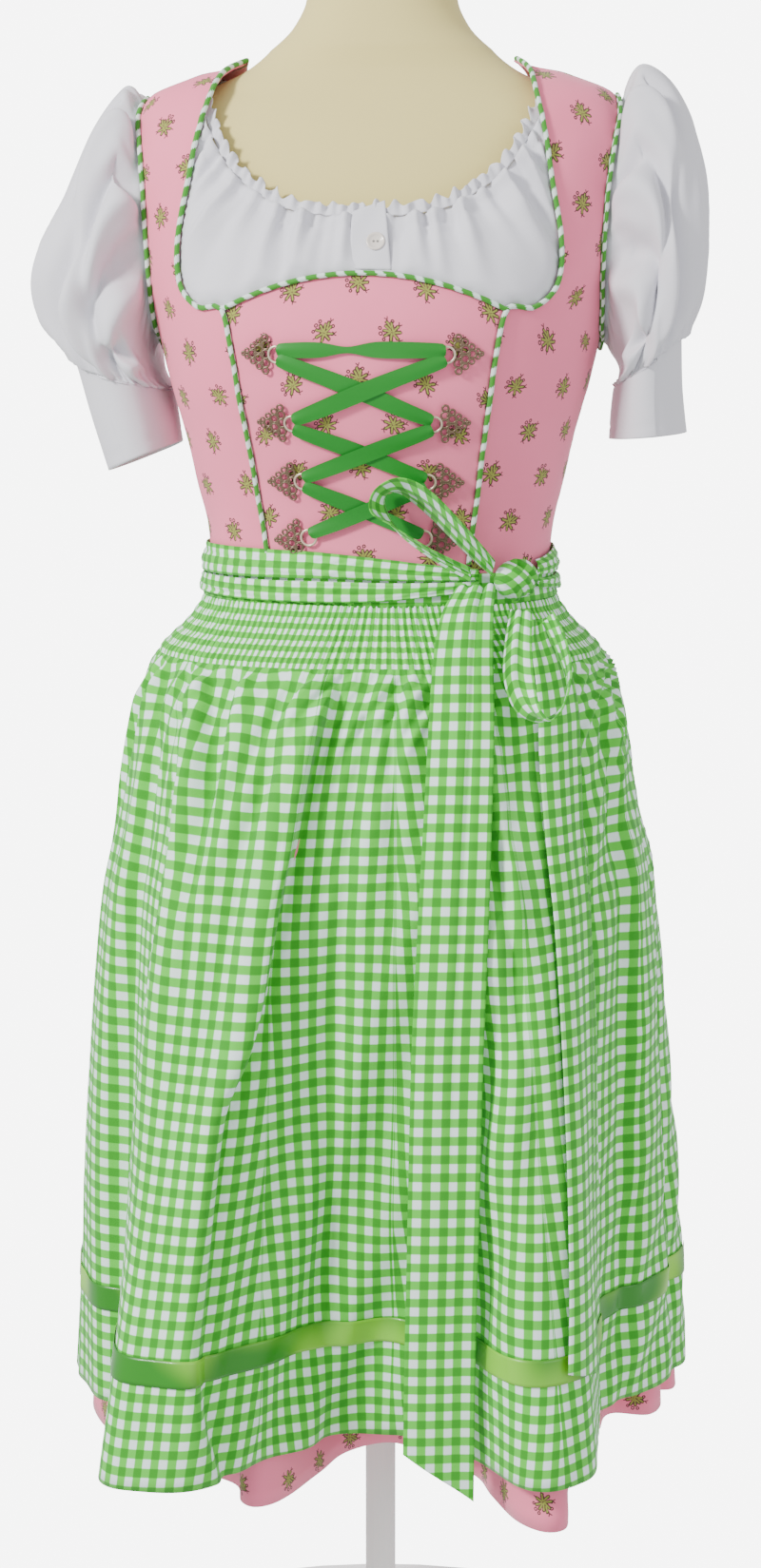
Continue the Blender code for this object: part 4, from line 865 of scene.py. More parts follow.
def build_bodice():
    out = BODICE_LAYER[1]
    grids = {}
    for side, word in ((-1, "left"), (1, "right")):
        grids[f"bodice_side_front_{word}"] = side_panel(SIDE_FRONT, side, -0.0003)
        grids[f"bodice_side_back_{word}"] = side_panel(SIDE_BACK, side, 0.0003)
    grids["bodice_centre_front"] = centre_panel(SIDE_FRONT, -1, FRONT_NECK_RISE)
    grids["bodice_centre_back"] = centre_panel(SIDE_BACK, 1, BACK_NECK_RISE)
    for seed, (name, grid) in enumerate(grids.items()):
        shown = laid(grid, out - strap_settles(grid) + dress_relief(grid, seed))
        uv = lengthwise_uv(shown) + PRINT_SHIFT * seed
        make_sheet(name, shown, PINK_PRINT, BODICE_CLOTH, "stretched", "form_torso", uv)

    armholes = {}
    half = {}
    for side, word in ((-1, "left"), (1, "right")):
        front, back = grids[f"bodice_side_front_{word}"], grids[f"bodice_side_back_{word}"]
        arm_front = front[rung_row(SIDE_FRONT, "underarm"):, -1]
        arm_back = back[rung_row(SIDE_BACK, "underarm"):, -1]
        armholes[side] = (arm_front[::-1], arm_back)
        lay_piping(f"piping_armhole_{word}", np.concatenate([arm_front[::-1], arm_back[1:-1]]), True)
        seam = front[: rung_row(SIDE_FRONT, "seam_top") + 1, 0]
        lay_piping(f"piping_seam_{word}", seam[seam[:, 2] > PIPING_BOTTOM_Z], False)
        half[side] = np.concatenate(
            [front[rung_row(SIDE_FRONT, "seam_top"):, 0], back[rung_row(SIDE_BACK, "seam_top"):-1, 0][::-1]]
        )
    top_front, top_back = grids["bodice_centre_front"][-1], grids["bodice_centre_back"][-1]
    neck = np.concatenate([top_front[1:-1], half[1], top_back[-2:0:-1], half[-1][::-1]])
    lay_piping("piping_neck", neck, True)
    return armholes, neck


PIPING_WIDTH = 4.0 * MM
PIPING_OUT = BODICE_LAYER[1] + 1.9 * MM
PIPING_STEPS, SHORT_PIPING_STEPS, PIPING_SIDES = 220, 90, 10


def lay_piping(name, edge, closed):
    places = evenly(edge, PIPING_STEPS if closed else SHORT_PIPING_STEPS, closed)
    path = spline(edge, places[:-1] if closed else places, closed)
    lifted = [on_form(p, float(PIPING_OUT - strap_settles(p))) for p in path]
    points, normals = zip(*lifted)
    make_tube(name, points, normals, PIPING_WIDTH / 2, PIPING_SIDES, PIPING_CHECK, closed)


# ---------------------------------------------------------------- blouse

def round_the_axis(start, end, share):
    turn_start, turn_end = math.atan2(start[0], abs(start[1])), math.atan2(end[0], abs(end[1]))
    turn = turn_start + (turn_end - turn_start) * share
    reach_start, reach_end = math.hypot(start[0], start[1]), math.hypot(end[0], end[1])
    reach = reach_start + (reach_end - reach_start) * share
    side = 1 if start[1] > 0 else -1
    return reach * math.sin(turn), side * reach * math.cos(turn), start[2] + (end[2] - start[2]) * share


def spoke_grid(spokes, side, rows, columns):
    places = np.linspace(0, len(spokes) - 1, columns)
    necks = spline([Vector(s.neck) * MM for s in spokes], places)
    outers = spline([Vector(s.outer) * MM for s in spokes], places)
    flip = np.array([-1, 1, 1])
    necks = np.concatenate([(necks * flip)[:0:-1], necks])
    outers = np.concatenate([(outers * flip)[:0:-1], outers])
    grid = np.array([
        [round_the_axis(n, o, share) for n, o in zip(necks, outers)] for share in np.linspace(0, 1, rows)
    ])
    grid[..., 1] = side * np.maximum(side * grid[..., 1], 0.0005)
    return laid(grid)


def opening_room(grid, neck):
    """How far each point lies inside the dress's neckline, seen from the front or the back. 0 outside it."""
    edge = neck[:, [0, 2]]
    spots = grid[..., [0, 2]].reshape(-1, 2)
    nearest = np.sqrt(((spots[:, None] - edge[None]) ** 2).sum(-1)).min(1)
    x, z = spots[:, :1], spots[:, 1:]
    start, end = edge, np.roll(edge, -1, axis=0)
    spans = (start[:, 1] > z) != (end[:, 1] > z)
    rise = end[:, 1] - start[:, 1]
    crossing = start[:, 0] + (z - start[:, 1]) / np.where(rise == 0, 1e-9, rise) * (end[:, 0] - start[:, 0])
    inside = (spans & (x < crossing)).sum(1) % 2 == 1
    return np.where(inside, nearest, 0).reshape(grid.shape[:2])


CASING_DEPTH = 9 * MM
BILLOW = 5.2 * MM
GATHER_LIFT = 3.6 * MM
BLOUSE_ROWS, BLOUSE_COLUMNS = 46, 146
BUTTON_STRIP = (7 * MM, 20 * MM)            # x, and depth under the neck
BUTTON_STRIP_REACH = (19 * MM, 24 * MM)
UNDER_DRESS = 2.0 * MM                      # the most that the blouse stands out under the dress
RUFFLE_BOTTOM, RUFFLE_TOP = -0.5 * MM, 8.6 * MM
RUFFLE_COLUMNS, RUFFLE_ROWS = 640, 9
RUFFLE_LEAST = 1.0 * MM                     # how far out it lies under the straps
STRAP_EDGE = (110 * MM, 122 * MM)           # from here to there, out from the middle, the straps cover it
NECK_AIM = np.array([0, 0.01, 1.43])        # the ruffle rises towards this point


def blouse_relief(grid, side, neck):
    """How far the blouse stands out: gathers at the neck's casing, a billow, a flat strip at the button."""
    down, across = drops(grid), lengths(grid[:1])[0]
    spread = across + 0.12 * down * np.sign(across - across.mean())
    reach = np.maximum(down - CASING_DEPTH, 0)
    gather = GATHER_LIFT + ripple(across, 4.2, 13.5, 3 + side) * np.exp(-reach / 0.026)
    gather = gather + ripple(spread, 6.6, 26, 8 + side) * np.exp(-reach / 0.065)
    casing = -2.4 * MM * hump(down, CASING_DEPTH, 1.9 * MM)
    fullness = 0.75 + 0.5 * wander(across + down * 0.4, 0.045, 21 + side)
    billow = BILLOW * soft_step(down, CASING_DEPTH, 0.03) * fullness
    strip = np.exp(-((grid[..., 0] - BUTTON_STRIP[0]) / BUTTON_STRIP_REACH[0]) ** 4)
    strip = strip * np.exp(-((down - BUTTON_STRIP[1]) / BUTTON_STRIP_REACH[1]) ** 4) * (side < 0)
    height = (gather + billow + casing) * (1 - strip) + 1.2 * MM * strip
    limit = UNDER_DRESS + 0.75 * opening_room(grid, neck) - 1.1 * strap_settles(grid)
    soft = 0.4 * MM
    return np.clip(limit - np.log1p(np.exp((limit - height) / soft)) * soft, 0.1 * MM, None)


def build_ruffle(loop):
    loop = spline(loop, evenly(loop, RUFFLE_COLUMNS, True)[:-1], True)
    along = lengths(loop[None])[0]
    inward = NECK_AIM - loop
    inward /= np.linalg.norm(inward, axis=1, keepdims=True)
    top = RUFFLE_TOP + ripple(along, 2.9, 14, 41)
    rows = []
    for share in np.linspace(0, 1, RUFFLE_ROWS):
        rise = RUFFLE_BOTTOM + (top - RUFFLE_BOTTOM) * share
        out = (3.6 + 1.2 * share) * MM + ripple(along, 1.0 + 2.8 * share, 10.5, 43)
        spots = loop + inward * rise[:, None]
        under_strap = soft_step(np.abs(spots[:, 0]), *STRAP_EDGE)
        out = out + (RUFFLE_LEAST - out) * under_strap
        rows.append([on_form(p, max(h, RUFFLE_LEAST))[0] for p, h in zip(spots, out)])
    grid = np.array(rows)
    make_sheet("blouse_neck_ruffle", grid, WHITE_COTTON, RUFFLE_CLOTH, "gathered", "form_torso", closed=True)


def build_blouse(armholes, neck):
    grids = {}
    for name, spokes, side in (("blouse_front", BLOUSE_FRONT, -1), ("blouse_back", BLOUSE_BACK, 1)):
        grid = spoke_grid(spokes, side, BLOUSE_ROWS, BLOUSE_COLUMNS)
        edge = neck[side * neck[:, 1] > -0.002]
        shown = laid(grid, BLOUSE_LAYER[0] + 0.8 * MM + blouse_relief(grid, side, edge))
        make_sheet(name, shown, WHITE_COTTON, BLOUSE_CLOTH, "gathered", "form_torso")
        grids[side] = grid
    build_ruffle(np.concatenate([grids[-1][0], grids[1][0][-2:0:-1]]))
    build_placket()
    build_sleeve(-1, "left", LEFT_SIDE_SLEEVE, LEFT_SIDE_CUFF, armholes[-1])
    build_sleeve(1, "right", RIGHT_SIDE_SLEEVE, RIGHT_SIDE_CUFF, armholes[1])


# The placket's corners and the button, in millimetres
PLACKET_NEAR_X, PLACKET_WIDTH, PLACKET_SLANT = -9, 24, 6.5
PLACKET_TOP_Z, PLACKET_DEPTH, PLACKET_CORNER = 1272.5, 41, 8
BUTTON_AT = (9.5, 1250.5)
# Radius and distance out
BUTTON_PROFILE = [(0.2, 7.2), (3.6, 7.2), (4.6, 7.6), (5.6, 8.4), (6.5, 8.4), (7, 7.8), (6.8, 7), (5.8, 6.6)]
HOLE_PROFILE = [(0.1, 7.45), (0.75, 7.45), (0.95, 7.1)]
HOLE_SHIFTS = (-1.5, 1.5)


def placket_point(across, down):
    x = PLACKET_NEAR_X + PLACKET_WIDTH * across + PLACKET_SLANT * down * across
    z = PLACKET_TOP_Z + PLACKET_CORNER * across - down * (PLACKET_DEPTH + 9 * across)
    return on_front(x * MM, z * MM, (5.6 + 1.3 * across + 0.5 * math.sin(5 * across + 6 * down)) * MM)


def build_placket():
    grid = np.array([
        [placket_point(across, down) for across in np.linspace(0, 1, 20)] for down in np.linspace(0, 1, 30)
    ])
    make_sheet("blouse_placket", grid, WHITE_COTTON, DOUBLE_CLOTH, "laid", "blouse_front")
    centre, normal = on_form(on_front(BUTTON_AT[0] * MM, BUTTON_AT[1] * MM))
    up = normal.cross(Vector((1, 0, 0))).normalized()
    side = up.cross(normal)

    def turned(name, profile, shift, finish):
        middle = centre + side * shift * MM
        spokes = [side * math.cos(t) + up * math.sin(t) for t in full_turn(40)]
        rings = np.array([
            [middle + (normal * out + spoke * radius) * MM for spoke in spokes] for radius, out in profile
        ])
        make_shell(name, rings, lengthwise_uv(rings, True), finish, node="blouse_button", closed=True)

    turned("blouse_button", BUTTON_PROFILE, 0, PEARL)
    # The holes are dark discs of painted shade on the button's face.
    for number, shift in enumerate(HOLE_SHIFTS):
        turned(f"button_hole_{number + 1}", HOLE_PROFILE, shift, BUTTON_HOLE_SHADE)


COARSE_TURNS = 32
SLEEVE_ROWS, SLEEVE_TURNS, CUFF_ROWS = 84, 168, 30
SLEEVE_AXIS = (0.212, 0.004)
CREASE_GAIN = 2.8
CUFF_SLIT = (0.205, 0.209, 0.3, 0.36)     # where round the cuff its overlap starts and ends
# Creases pressed into the sleeves: where each starts and ends, down the sleeve from 0 to 1 and round it
# from the top (0) by the front (0.25), underside (0.5) and back (0.75), and how deep and wide it is in
# millimetres
SleeveCrease = namedtuple("SleeveCrease", "down turn to_down to_turn depth width")
SLEEVE_CREASES = table(
    SleeveCrease, (0.02, 0.06, 0.5, 0.1, 4.5, 11), (0.04, 0.17, 0.62, 0.21, 5, 12),
    (0.1, 0.29, 0.8, 0.27, 5.5, 13), (0.45, 0.14, 0.98, 0.2, 5, 11), (0.5, 0.03, 0.99, 0.09, 5, 12),
    (0.55, 0.34, 0.98, 0.31, 4.5, 10), (0.05, 0.9, 0.6, 0.86, 5, 12), (0.1, 0.76, 0.75, 0.78, 5, 13),
    (0.5, 0.93, 0.99, 0.88, 4.5, 11), (0.45, 0.68, 0.97, 0.71, 4.5, 11),
)


def table_ring(row, side, columns=COARSE_TURNS):
    upper = np.array([side * row.upper_x, 4, row.upper_z]) * MM
    under = np.array([side * row.under_x, 4, row.under_z]) * MM
    forward = np.array([0, -row.half_depth, 0]) * MM
    turns = full_turn(columns)[:, None]
    return (upper + under) / 2 + (upper - under) / 2 * np.cos(turns) + forward * np.sin(turns)


def armhole_rings(armhole):
    """The sleeve's first two rings: set inside the bodice's armhole, then risen from it."""
    front, back = armhole
    half = COARSE_TURNS // 2
    loop = np.concatenate([spline(front, evenly(front, half)), spline(back, evenly(back, half))[1:-1]])
    centre = np.array([0, *ARMHOLE_CENTRE]) * MM
    rings = []
    for out in (SLEEVE_SEAM_OUT, SLEEVE_RISE_OUT):
        ring = []
        for point in loop:
            inward = centre - point
            inward[0] = 0
            ring.append(on_form(on_form(point)[0] + Vector(inward).normalized() * ARMHOLE_INSET, out)[0])
        rings.append(ring)
    return rings


def sleeve_relief(grid, share, turn):
    """Gathers at the sleeve's cap and above its cuff, and its pressed creases."""
    girth = lengths(ring_of(grid, True))[:, -1:]
    upper = 0.35 + 0.65 * soft_step(np.cos(2 * math.pi * turn), -0.5, 0.6)
    coarse = np.sin(2 * math.pi * (turn * 23 + 0.35 * np.sin(2 * math.pi * turn * 5)))
    fine = np.sin(2 * math.pi * (turn * 37 + 0.4 * np.sin(2 * math.pi * turn * 3)))
    pleats = 0.6 * coarse + 0.4 * fine
    cap = 3.6 * MM * upper * pleats * hump(share, 0.1, 0.16)
    height = cap + 4.6 * MM * pleats * np.exp(-(1 - share) / 0.13) * soft_step(1 - share, 0, 0.02)
    for crease in SLEEVE_CREASES:
        place = (share - crease.down) / (crease.to_down - crease.down)
        middle = crease.turn + (crease.to_turn - crease.turn) * place + 0.012 * np.sin(7 * place)
        apart = (turn - middle + 0.5) % 1 - 0.5
        fade = soft_step(place, -0.05, 0.3) * (1 - soft_step(place, 0.7, 1.08))
        trough = apart * girth / (crease.width * MM)
        profile = 0.5 * hump(trough, 1.6, 1) - hump(trough, 0, 1)
        height = height + fade * CREASE_GAIN * crease.depth * MM * profile
    return height * soft_step(share, 0.08, 0.2) + 0.6 * MM * np.sin(share * 9)


def build_sleeve(side, word, rows, cuff_rows, armhole):
    axis = (side * SLEEVE_AXIS[0], SLEEVE_AXIS[1])
    rings = armhole_rings(armhole) + [table_ring(row, side) for row in rows]
    grid = resample(rings, SLEEVE_ROWS, SLEEVE_TURNS, True)
    share = np.linspace(0, 1, SLEEVE_ROWS)[:, None]
    turn = (np.arange(SLEEVE_TURNS) / SLEEVE_TURNS)[None]
    shown = raised(grid, sleeve_relief(grid, share, turn), True, axis)
    make_sheet(
        f"blouse_sleeve_{word}", shown, WHITE_COTTON, BLOUSE_CLOTH, "gathered", f"blouse_cuff_{word}",
        closed=True, centre=axis,
    )

    top = rows[-1]
    seam = top._replace(upper_x=top.upper_x - 1.5, under_x=top.under_x + 0.5, half_depth=top.half_depth - 1)
    grid = resample([table_ring(row, side) for row in (seam, *cuff_rows)], CUFF_ROWS, SLEEVE_TURNS, True)
    down = drops(grid)
    overlap = 1.3 * MM * soft_step(turn, *CUFF_SLIT[:2]) * (1 - soft_step(turn, *CUFF_SLIT[2:]))
    stitch = -0.5 * MM * hump(down[-1:] - down, 9 * MM, 0.8 * MM)
    soft = 0.9 * MM * np.sin(2 * math.pi * (turn * 3 + 0.1)) * down / down[-1:]
    shown = raised(grid, overlap + stitch + soft, True, axis)
    make_sheet(
        f"blouse_cuff_{word}", shown, WHITE_COTTON, DOUBLE_CLOTH, "gathered", f"blouse_sleeve_{word}",
        closed=True, centre=axis,
    )


# ---------------------------------------------------------------- skirt and apron

def outline_of(folds):
    turn = np.radians([f.deg for f in folds])
    radius = np.array([f.radius for f in folds], float)
    return np.stack([radius * np.sin(turn), -radius * np.cos(turn)], axis=1)


def ease_at(z, apron):
    if not apron:
        return 0 * z
    return APRON_WAIST_EASE + (APRON_EASE - APRON_WAIST_EASE) * np.minimum(1, (WAIST_Z - z) / 100)


def hang(hem_deg, hem_radius, levels, hem_z, apron):
    """Hanging cloth: a row for each level, a column for each bearing and distance at the hem."""
    levels = np.asarray(levels, float)
    z = levels[:, None]
    fall = np.maximum((WAIST_Z - z) / (WAIST_Z - hem_z), 0)
    swing = 1 - (1 - np.minimum(fall, 1)) ** LEAN_RATE
    waist_deg = np.array([table_at(LEAN, d)[0] for d in hem_deg])
    degrees = waist_deg + (hem_deg - waist_deg) * swing
    girth = np.array([table_at(GIRTH, level) for level in levels])
    reach = section_reach(girth[:, :1], girth[:, 1:2], girth[:, 2:], degrees) + ease_at(z, apron)
    hem_reach = section_reach(*table_at(GIRTH, hem_z), hem_deg) + ease_at(np.float64(hem_z), apron)
    radius = reach + (hem_radius - hem_reach) * fall ** FOLD_GROWTH
    turn = np.radians(degrees)
    height = np.broadcast_to(z, radius.shape)
    return np.stack([radius * np.sin(turn), -radius * np.cos(turn), height], axis=-1) * MM


def hem_places(outline, first, last, count, closed):
    fine = np.linspace(first, last, 6000)
    travelled = lengths(spline(outline, fine, closed))
    spots = spline(outline, np.interp(np.linspace(0, travelled[-1], count), travelled, fine), closed)
    return np.degrees(np.unwrap(np.arctan2(spots[:, 0], -spots[:, 1]))), np.hypot(spots[:, 0], spots[:, 1])


# Creases of the apron, each followed down the cloth: height, bearing at the hem, depth, width and on which
# side of it the cloth stands up as a ridge (-1 towards the wearer's right)
CreaseRow = namedtuple("CreaseRow", "z deg depth width ridge")
APRON_CREASES = [
    table(CreaseRow, (340, -21.2, 4, 9, -1), (460, -23.4, 5, 9, -1), (596, -23.1, 7, 8, -1),
          (690, -20, 7, 7, -1), (788, -18.3, 7, 6.5, -1), (884, -15.8, 7, 5.5, -1),
          (940, -13.2, 2.5, 4.5, -1)),
    table(CreaseRow, (700, 9.5, 0.5, 8, 1), (828, 10.5, 2, 7, 1), (892, 9.5, 4.5, 6, 1), (916, 11.5, 5, 5, 1),
          (942, 15.1, 2.5, 4, 1)),
    table(CreaseRow, (640, -31.5, 0.5, 9, 1), (780, -31.5, 3, 8, 1), (868, -30.6, 5, 6, 1),
          (916, -30.1, 5, 5, 1), (946, -29.6, 2, 4, 1)),
    table(CreaseRow, (780, -36, 1, 9, -1), (868, -33, 4, 7, -1), (916, -33.5, 4, 5, -1),
          (946, -37.6, 2, 4, -1)),
    table(CreaseRow, (560, -27, 0.5, 12, 1), (772, -24.6, 3, 10, 1), (900, -24.4, 4, 7, 1),
          (942, -24.1, 2, 5, 1)),
    table(CreaseRow, (340, -46, 2, 14, 1), (484, -50, 5, 13, 1), (724, -43, 5, 11, 1), (868, -40, 4, 8, 1),
          (940, -42, 1.5, 5, 1)),
    table(CreaseRow, (340, -63, 3, 14, -1), (600, -62, 5, 12, -1), (860, -58, 4, 8, -1),
          (940, -60, 1.5, 5, -1)),
    table(CreaseRow, (340, -82, 2, 14, 1), (600, -80, 5, 12, 1), (900, -78, 3, 7, 1)),
    table(CreaseRow, (340, -8, 1.5, 12, 1), (560, -6, 2.5, 12, 1), (760, -3, 2.5, 9, 1), (900, -0.6, 3, 6, 1),
          (942, -0.6, 1.5, 4, 1)),
    table(CreaseRow, (340, 38.5, 3, 10, 1), (524, 37.8, 4, 9, 1), (740, 34, 5, 8, 1), (880, 30, 4, 6, 1),
          (940, 28, 2, 4, 1)),
    table(CreaseRow, (340, 58, 4, 12, -1), (600, 57, 5, 11, -1), (850, 56, 4, 8, -1), (940, 58, 2, 5, -1)),
    table(CreaseRow, (340, 76, 3, 13, 1), (600, 73, 5, 11, 1), (892, 72, 4, 7, 1)),
    table(CreaseRow, (340, 93, 3, 13, -1), (600, 90, 4, 11, -1), (880, 88, 3, 7, -1)),
]
CREASE_END = 14         # how far a crease runs out past its last row
APRON_COLUMNS, APRON_ROWS = 470, 100
SMOCKING_Z, APRON_TOP_Z = 938.5, 985.0
SMOCKING_ROWS = 5
PLEAT = 4.9 * MM
BAND_LENGTH = 530 * MM
GATHER_REACH = 100 * MM
RIBBON_OUT = 1.3 * MM
BAND_STRETCH = 1.42
SWAY_REACH = 0.13       # how far down the gathers still pull the check out of line
TOP_DETAIL = 62         # how far under the band the rows lie closer together
# Bearings at the hem where the check starts afresh: the cloth between them is taken up in the folds
CHECK_STARTS = (-83, -45.5, -18.6, 10, 35, 57, 75)
# Where the short tail lies, the apron stays flat under it
TAIL_SHADE = (35, 56)


def crease_height(grid, hem_deg, creases):
    """Troughs that have a raised fold on one side."""
    along = lengths(grid)
    total = np.zeros(grid.shape[:2])
    for rows in creases:
        z_low, z_high = rows[0].z, rows[-1].z
        for i, z in enumerate(grid[:, 0, 2] / MM):
            deg, depth, width, ridge = table_at(rows, z)
            beyond = max(z - z_high, z_low - z, 0)
            depth *= hump(beyond, 0, CREASE_END)
            inside = -ridge * (along[i] - np.interp(deg, hem_deg, along[i])) / (width * MM)
            fold = 1.35 * hump(inside, -1.5, 2.4) * (1 - soft_step(inside, -0.9, 0.7))
            recess = hump(inside, 0.5, 0.9) + 0.45 * hump(inside, 1.5, 2.2) * (inside > -1)
            total[i] += depth * MM * (fold - recess)
    return total


def gathers(along, z, top_z, reach, seed):
    """Small gathers that start under a gathered edge and die away down the cloth, each at its own depth."""
    fine = ripple(along, 2.0, 11.5, seed) * np.exp(-(top_z - z) / (reach * 0.45))
    middle = ripple(along + 0.02 * z, 3.9, 24, seed + 1) * np.exp(-(top_z - z) / reach)
    return fine + middle


def check_lengths(grid, hem_deg):
    """The check's own u: distance along each row, started afresh in each fold so that it keeps its size."""
    along = lengths(grid)
    starts = [0] + [int(np.searchsorted(hem_deg, d)) for d in CHECK_STARTS] + [grid.shape[1] - 1]
    u = np.empty_like(along)
    for first, last in zip(starts, starts[1:]):
        middle = (first + last) // 2
        anchor = along[-1, middle]
        u[:, first : last + 1] = along[:, first : last + 1] - along[:, middle : middle + 1] + anchor
    return u


def apron_cloth(levels):
    """The apron's surface with its folds, smocking, gathers and creases at the given levels."""
    outline = outline_of(APRON_FOLDS)
    hem_deg, hem_radius = hem_places(outline, 0, len(outline) - 1, APRON_COLUMNS, False)
    grid = hang(hem_deg, hem_radius, levels, APRON_HEM_Z, True)
    along, z = lengths(grid), grid[..., 2]
    below = 1 - soft_step(z, 0.925, SMOCKING_Z * MM)
    in_band = 1 - below
    turns = along / along[:, -1:] * round(BAND_LENGTH / PLEAT)
    pleats = 0.75 * MM * np.sin(2 * math.pi * turns + 0.9 * wander(along, 0.05, 5))
    stitch_pitch = (APRON_TOP_Z - SMOCKING_Z) * MM / SMOCKING_ROWS
    puff = np.abs(np.sin(math.pi * (z - SMOCKING_Z * MM) / stitch_pitch))
    height = in_band * (pleats * (0.35 + 0.65 * puff) + 0.7 * MM * puff)
    start, end = (soft_step(hem_deg, edge - 2, edge + 2) for edge in TAIL_SHADE)
    flat_under_tail = 1 - 0.8 * start * (1 - end)
    free = crease_height(grid, hem_deg, APRON_CREASES) + gathers(along, z, SMOCKING_Z * MM, GATHER_REACH, 11)
    free = free + ripple(along + 0.05 * z, 2.6, 85, 31) * soft_step(SMOCKING_Z * MM - z, 0, 0.15)
    height = height + below * free * flat_under_tail
    tight = 0.9 * MM + 5.5 * MM * soft_step(0.95 - z, 0, 0.06) + 3 * MM * soft_step(0.9 - z, 0, 0.1)
    height = np.maximum(height, -tight)
    return raised(grid, height), grid, hem_deg


def build_apron():
    in_band = np.linspace(APRON_TOP_Z, SMOCKING_Z, 17)
    low = SMOCKING_Z - TOP_DETAIL
    levels = np.concatenate([
        in_band, np.linspace(SMOCKING_Z, low, 24)[1:], np.linspace(low, APRON_HEM_Z, APRON_ROWS - 39)[1:]
    ])
    shown, plain, hem_deg = apron_cloth(levels)
    middle = int(np.searchsorted(hem_deg, 4))
    v = np.broadcast_to(lengths(plain[:, middle])[:, None], plain.shape[:2])
    waist = lengths(plain[:1])[0]
    squeezed = np.broadcast_to(waist * lengths(plain[-1:])[0, -1] / waist[-1], plain.shape[:2])
    along, z = lengths(plain), plain[..., 2]
    near_top = np.exp(-(SMOCKING_Z * MM - z) / SWAY_REACH)
    sway = ripple(along + 0.02 * z, 1.8, 50, 12) * near_top + ripple(along + 0.1 * z, 1.6, 110, 33)
    lift = ripple(along + 0.02 * z, 2.6, 60, 14) * near_top + ripple(along, 2.4, 160, 34)
    band_uv = np.stack([squeezed, v * BAND_STRETCH], axis=-1)
    cloth_uv = np.stack([check_lengths(plain, hem_deg) + sway, v + lift], axis=-1)
    last_in_band = len(in_band) - 1
    made = make_shell(
        "apron_panel", shown, band_uv, APRON_CHECK, APRON_CLOTH, lower_uv=cloth_uv, lower_from=last_in_band
    )
    ribbon = apron_cloth(np.linspace(*RIBBON_LEVELS, 9))[0]
    ribbon = raised(ribbon, np.full(ribbon.shape[:2], RIBBON_OUT))
    shiny = make_shell("apron_ribbon", ribbon, lengthwise_uv(ribbon), SATIN, SATIN_RIBBON)
    flat, area = cut_of(plain)


def build_skirt():
    outline = outline_of(SKIRT_FRONT_FOLDS + SKIRT_BACK_FOLDS[1:-1])
    seam = len(SKIRT_FRONT_FOLDS) - 1
    levels = np.concatenate([np.linspace(998, 900, 22), np.linspace(900, SKIRT_HEM_Z, 48)[1:]])
    for half, first, last, columns, seed, rate in (
        ("front", 0, seam, 230, 61, 0.3), ("back", seam, len(outline), 280, 71, 1.0)
    ):
        hem_deg, hem_radius = hem_places(outline, first, last, columns, True)
        if half == "back":
            hem_deg = hem_deg + 360 * round((SKIRT_BACK_FOLDS[0].deg - hem_deg[0]) / 360)
        grid = hang(hem_deg, hem_radius, levels, SKIRT_HEM_Z, False)
        along, z = lengths(grid), grid[..., 2]
        height = rate * soft_step(0.984 - z, 0, 0.03) * (
            gathers(along, z, 0.975, GATHER_REACH, seed) + ripple(along + 0.06 * z, 1.8, 70, seed + 3)
        )
        hem = -0.5 * MM * hump(z, HEM_STITCH_Z * MM, 1.4 * MM)
        uv = np.stack([np.broadcast_to(along[-1:], along.shape), drops(grid)], axis=-1)
        make_sheet(
            f"skirt_{half}", raised(grid, height + hem), PINK_PRINT, SKIRT_CLOTH, "gathered",
            f"bodice_centre_{half}", uv, cut_from=grid,
        )


# ---------------------------------------------------------------- waist

TIE_ROWS, TIE_COLUMNS = 17, 210
TIE_OUT = TIE_LAYER[1] - 0.6 * MM
TIE_TUCK, TIE_TUCK_FROM, TIE_TUCK_TO = 4.6 * MM, 1.006, 1.022     # its upper part lies closer to the waist
TIE_STRETCH = 1.25
BAND_CHECK_SHIFT, TIE_CHECK_SHIFT = 3 * MM, 4 * MM                # so that the checks don't line up
# Creases along a tie: where each lies across it, and how far it runs over to the other edge
TieCrease = namedtuple("TieCrease", "across slope")
TIE_CREASES = table(TieCrease, (0.3, 0.8), (0.55, -0.6), (0.78, 0.5))


def waist_grid(rows, out, columns, lines):
    def place(deg, share):
        z, height = table_at(rows, deg)
        return around(deg, (z + share * height) * MM, out)

    degs = np.linspace(rows[0].deg, rows[-1].deg, columns)
    return np.array([[place(deg, share) for deg in degs] for share in np.linspace(0.5, -0.5, lines)])


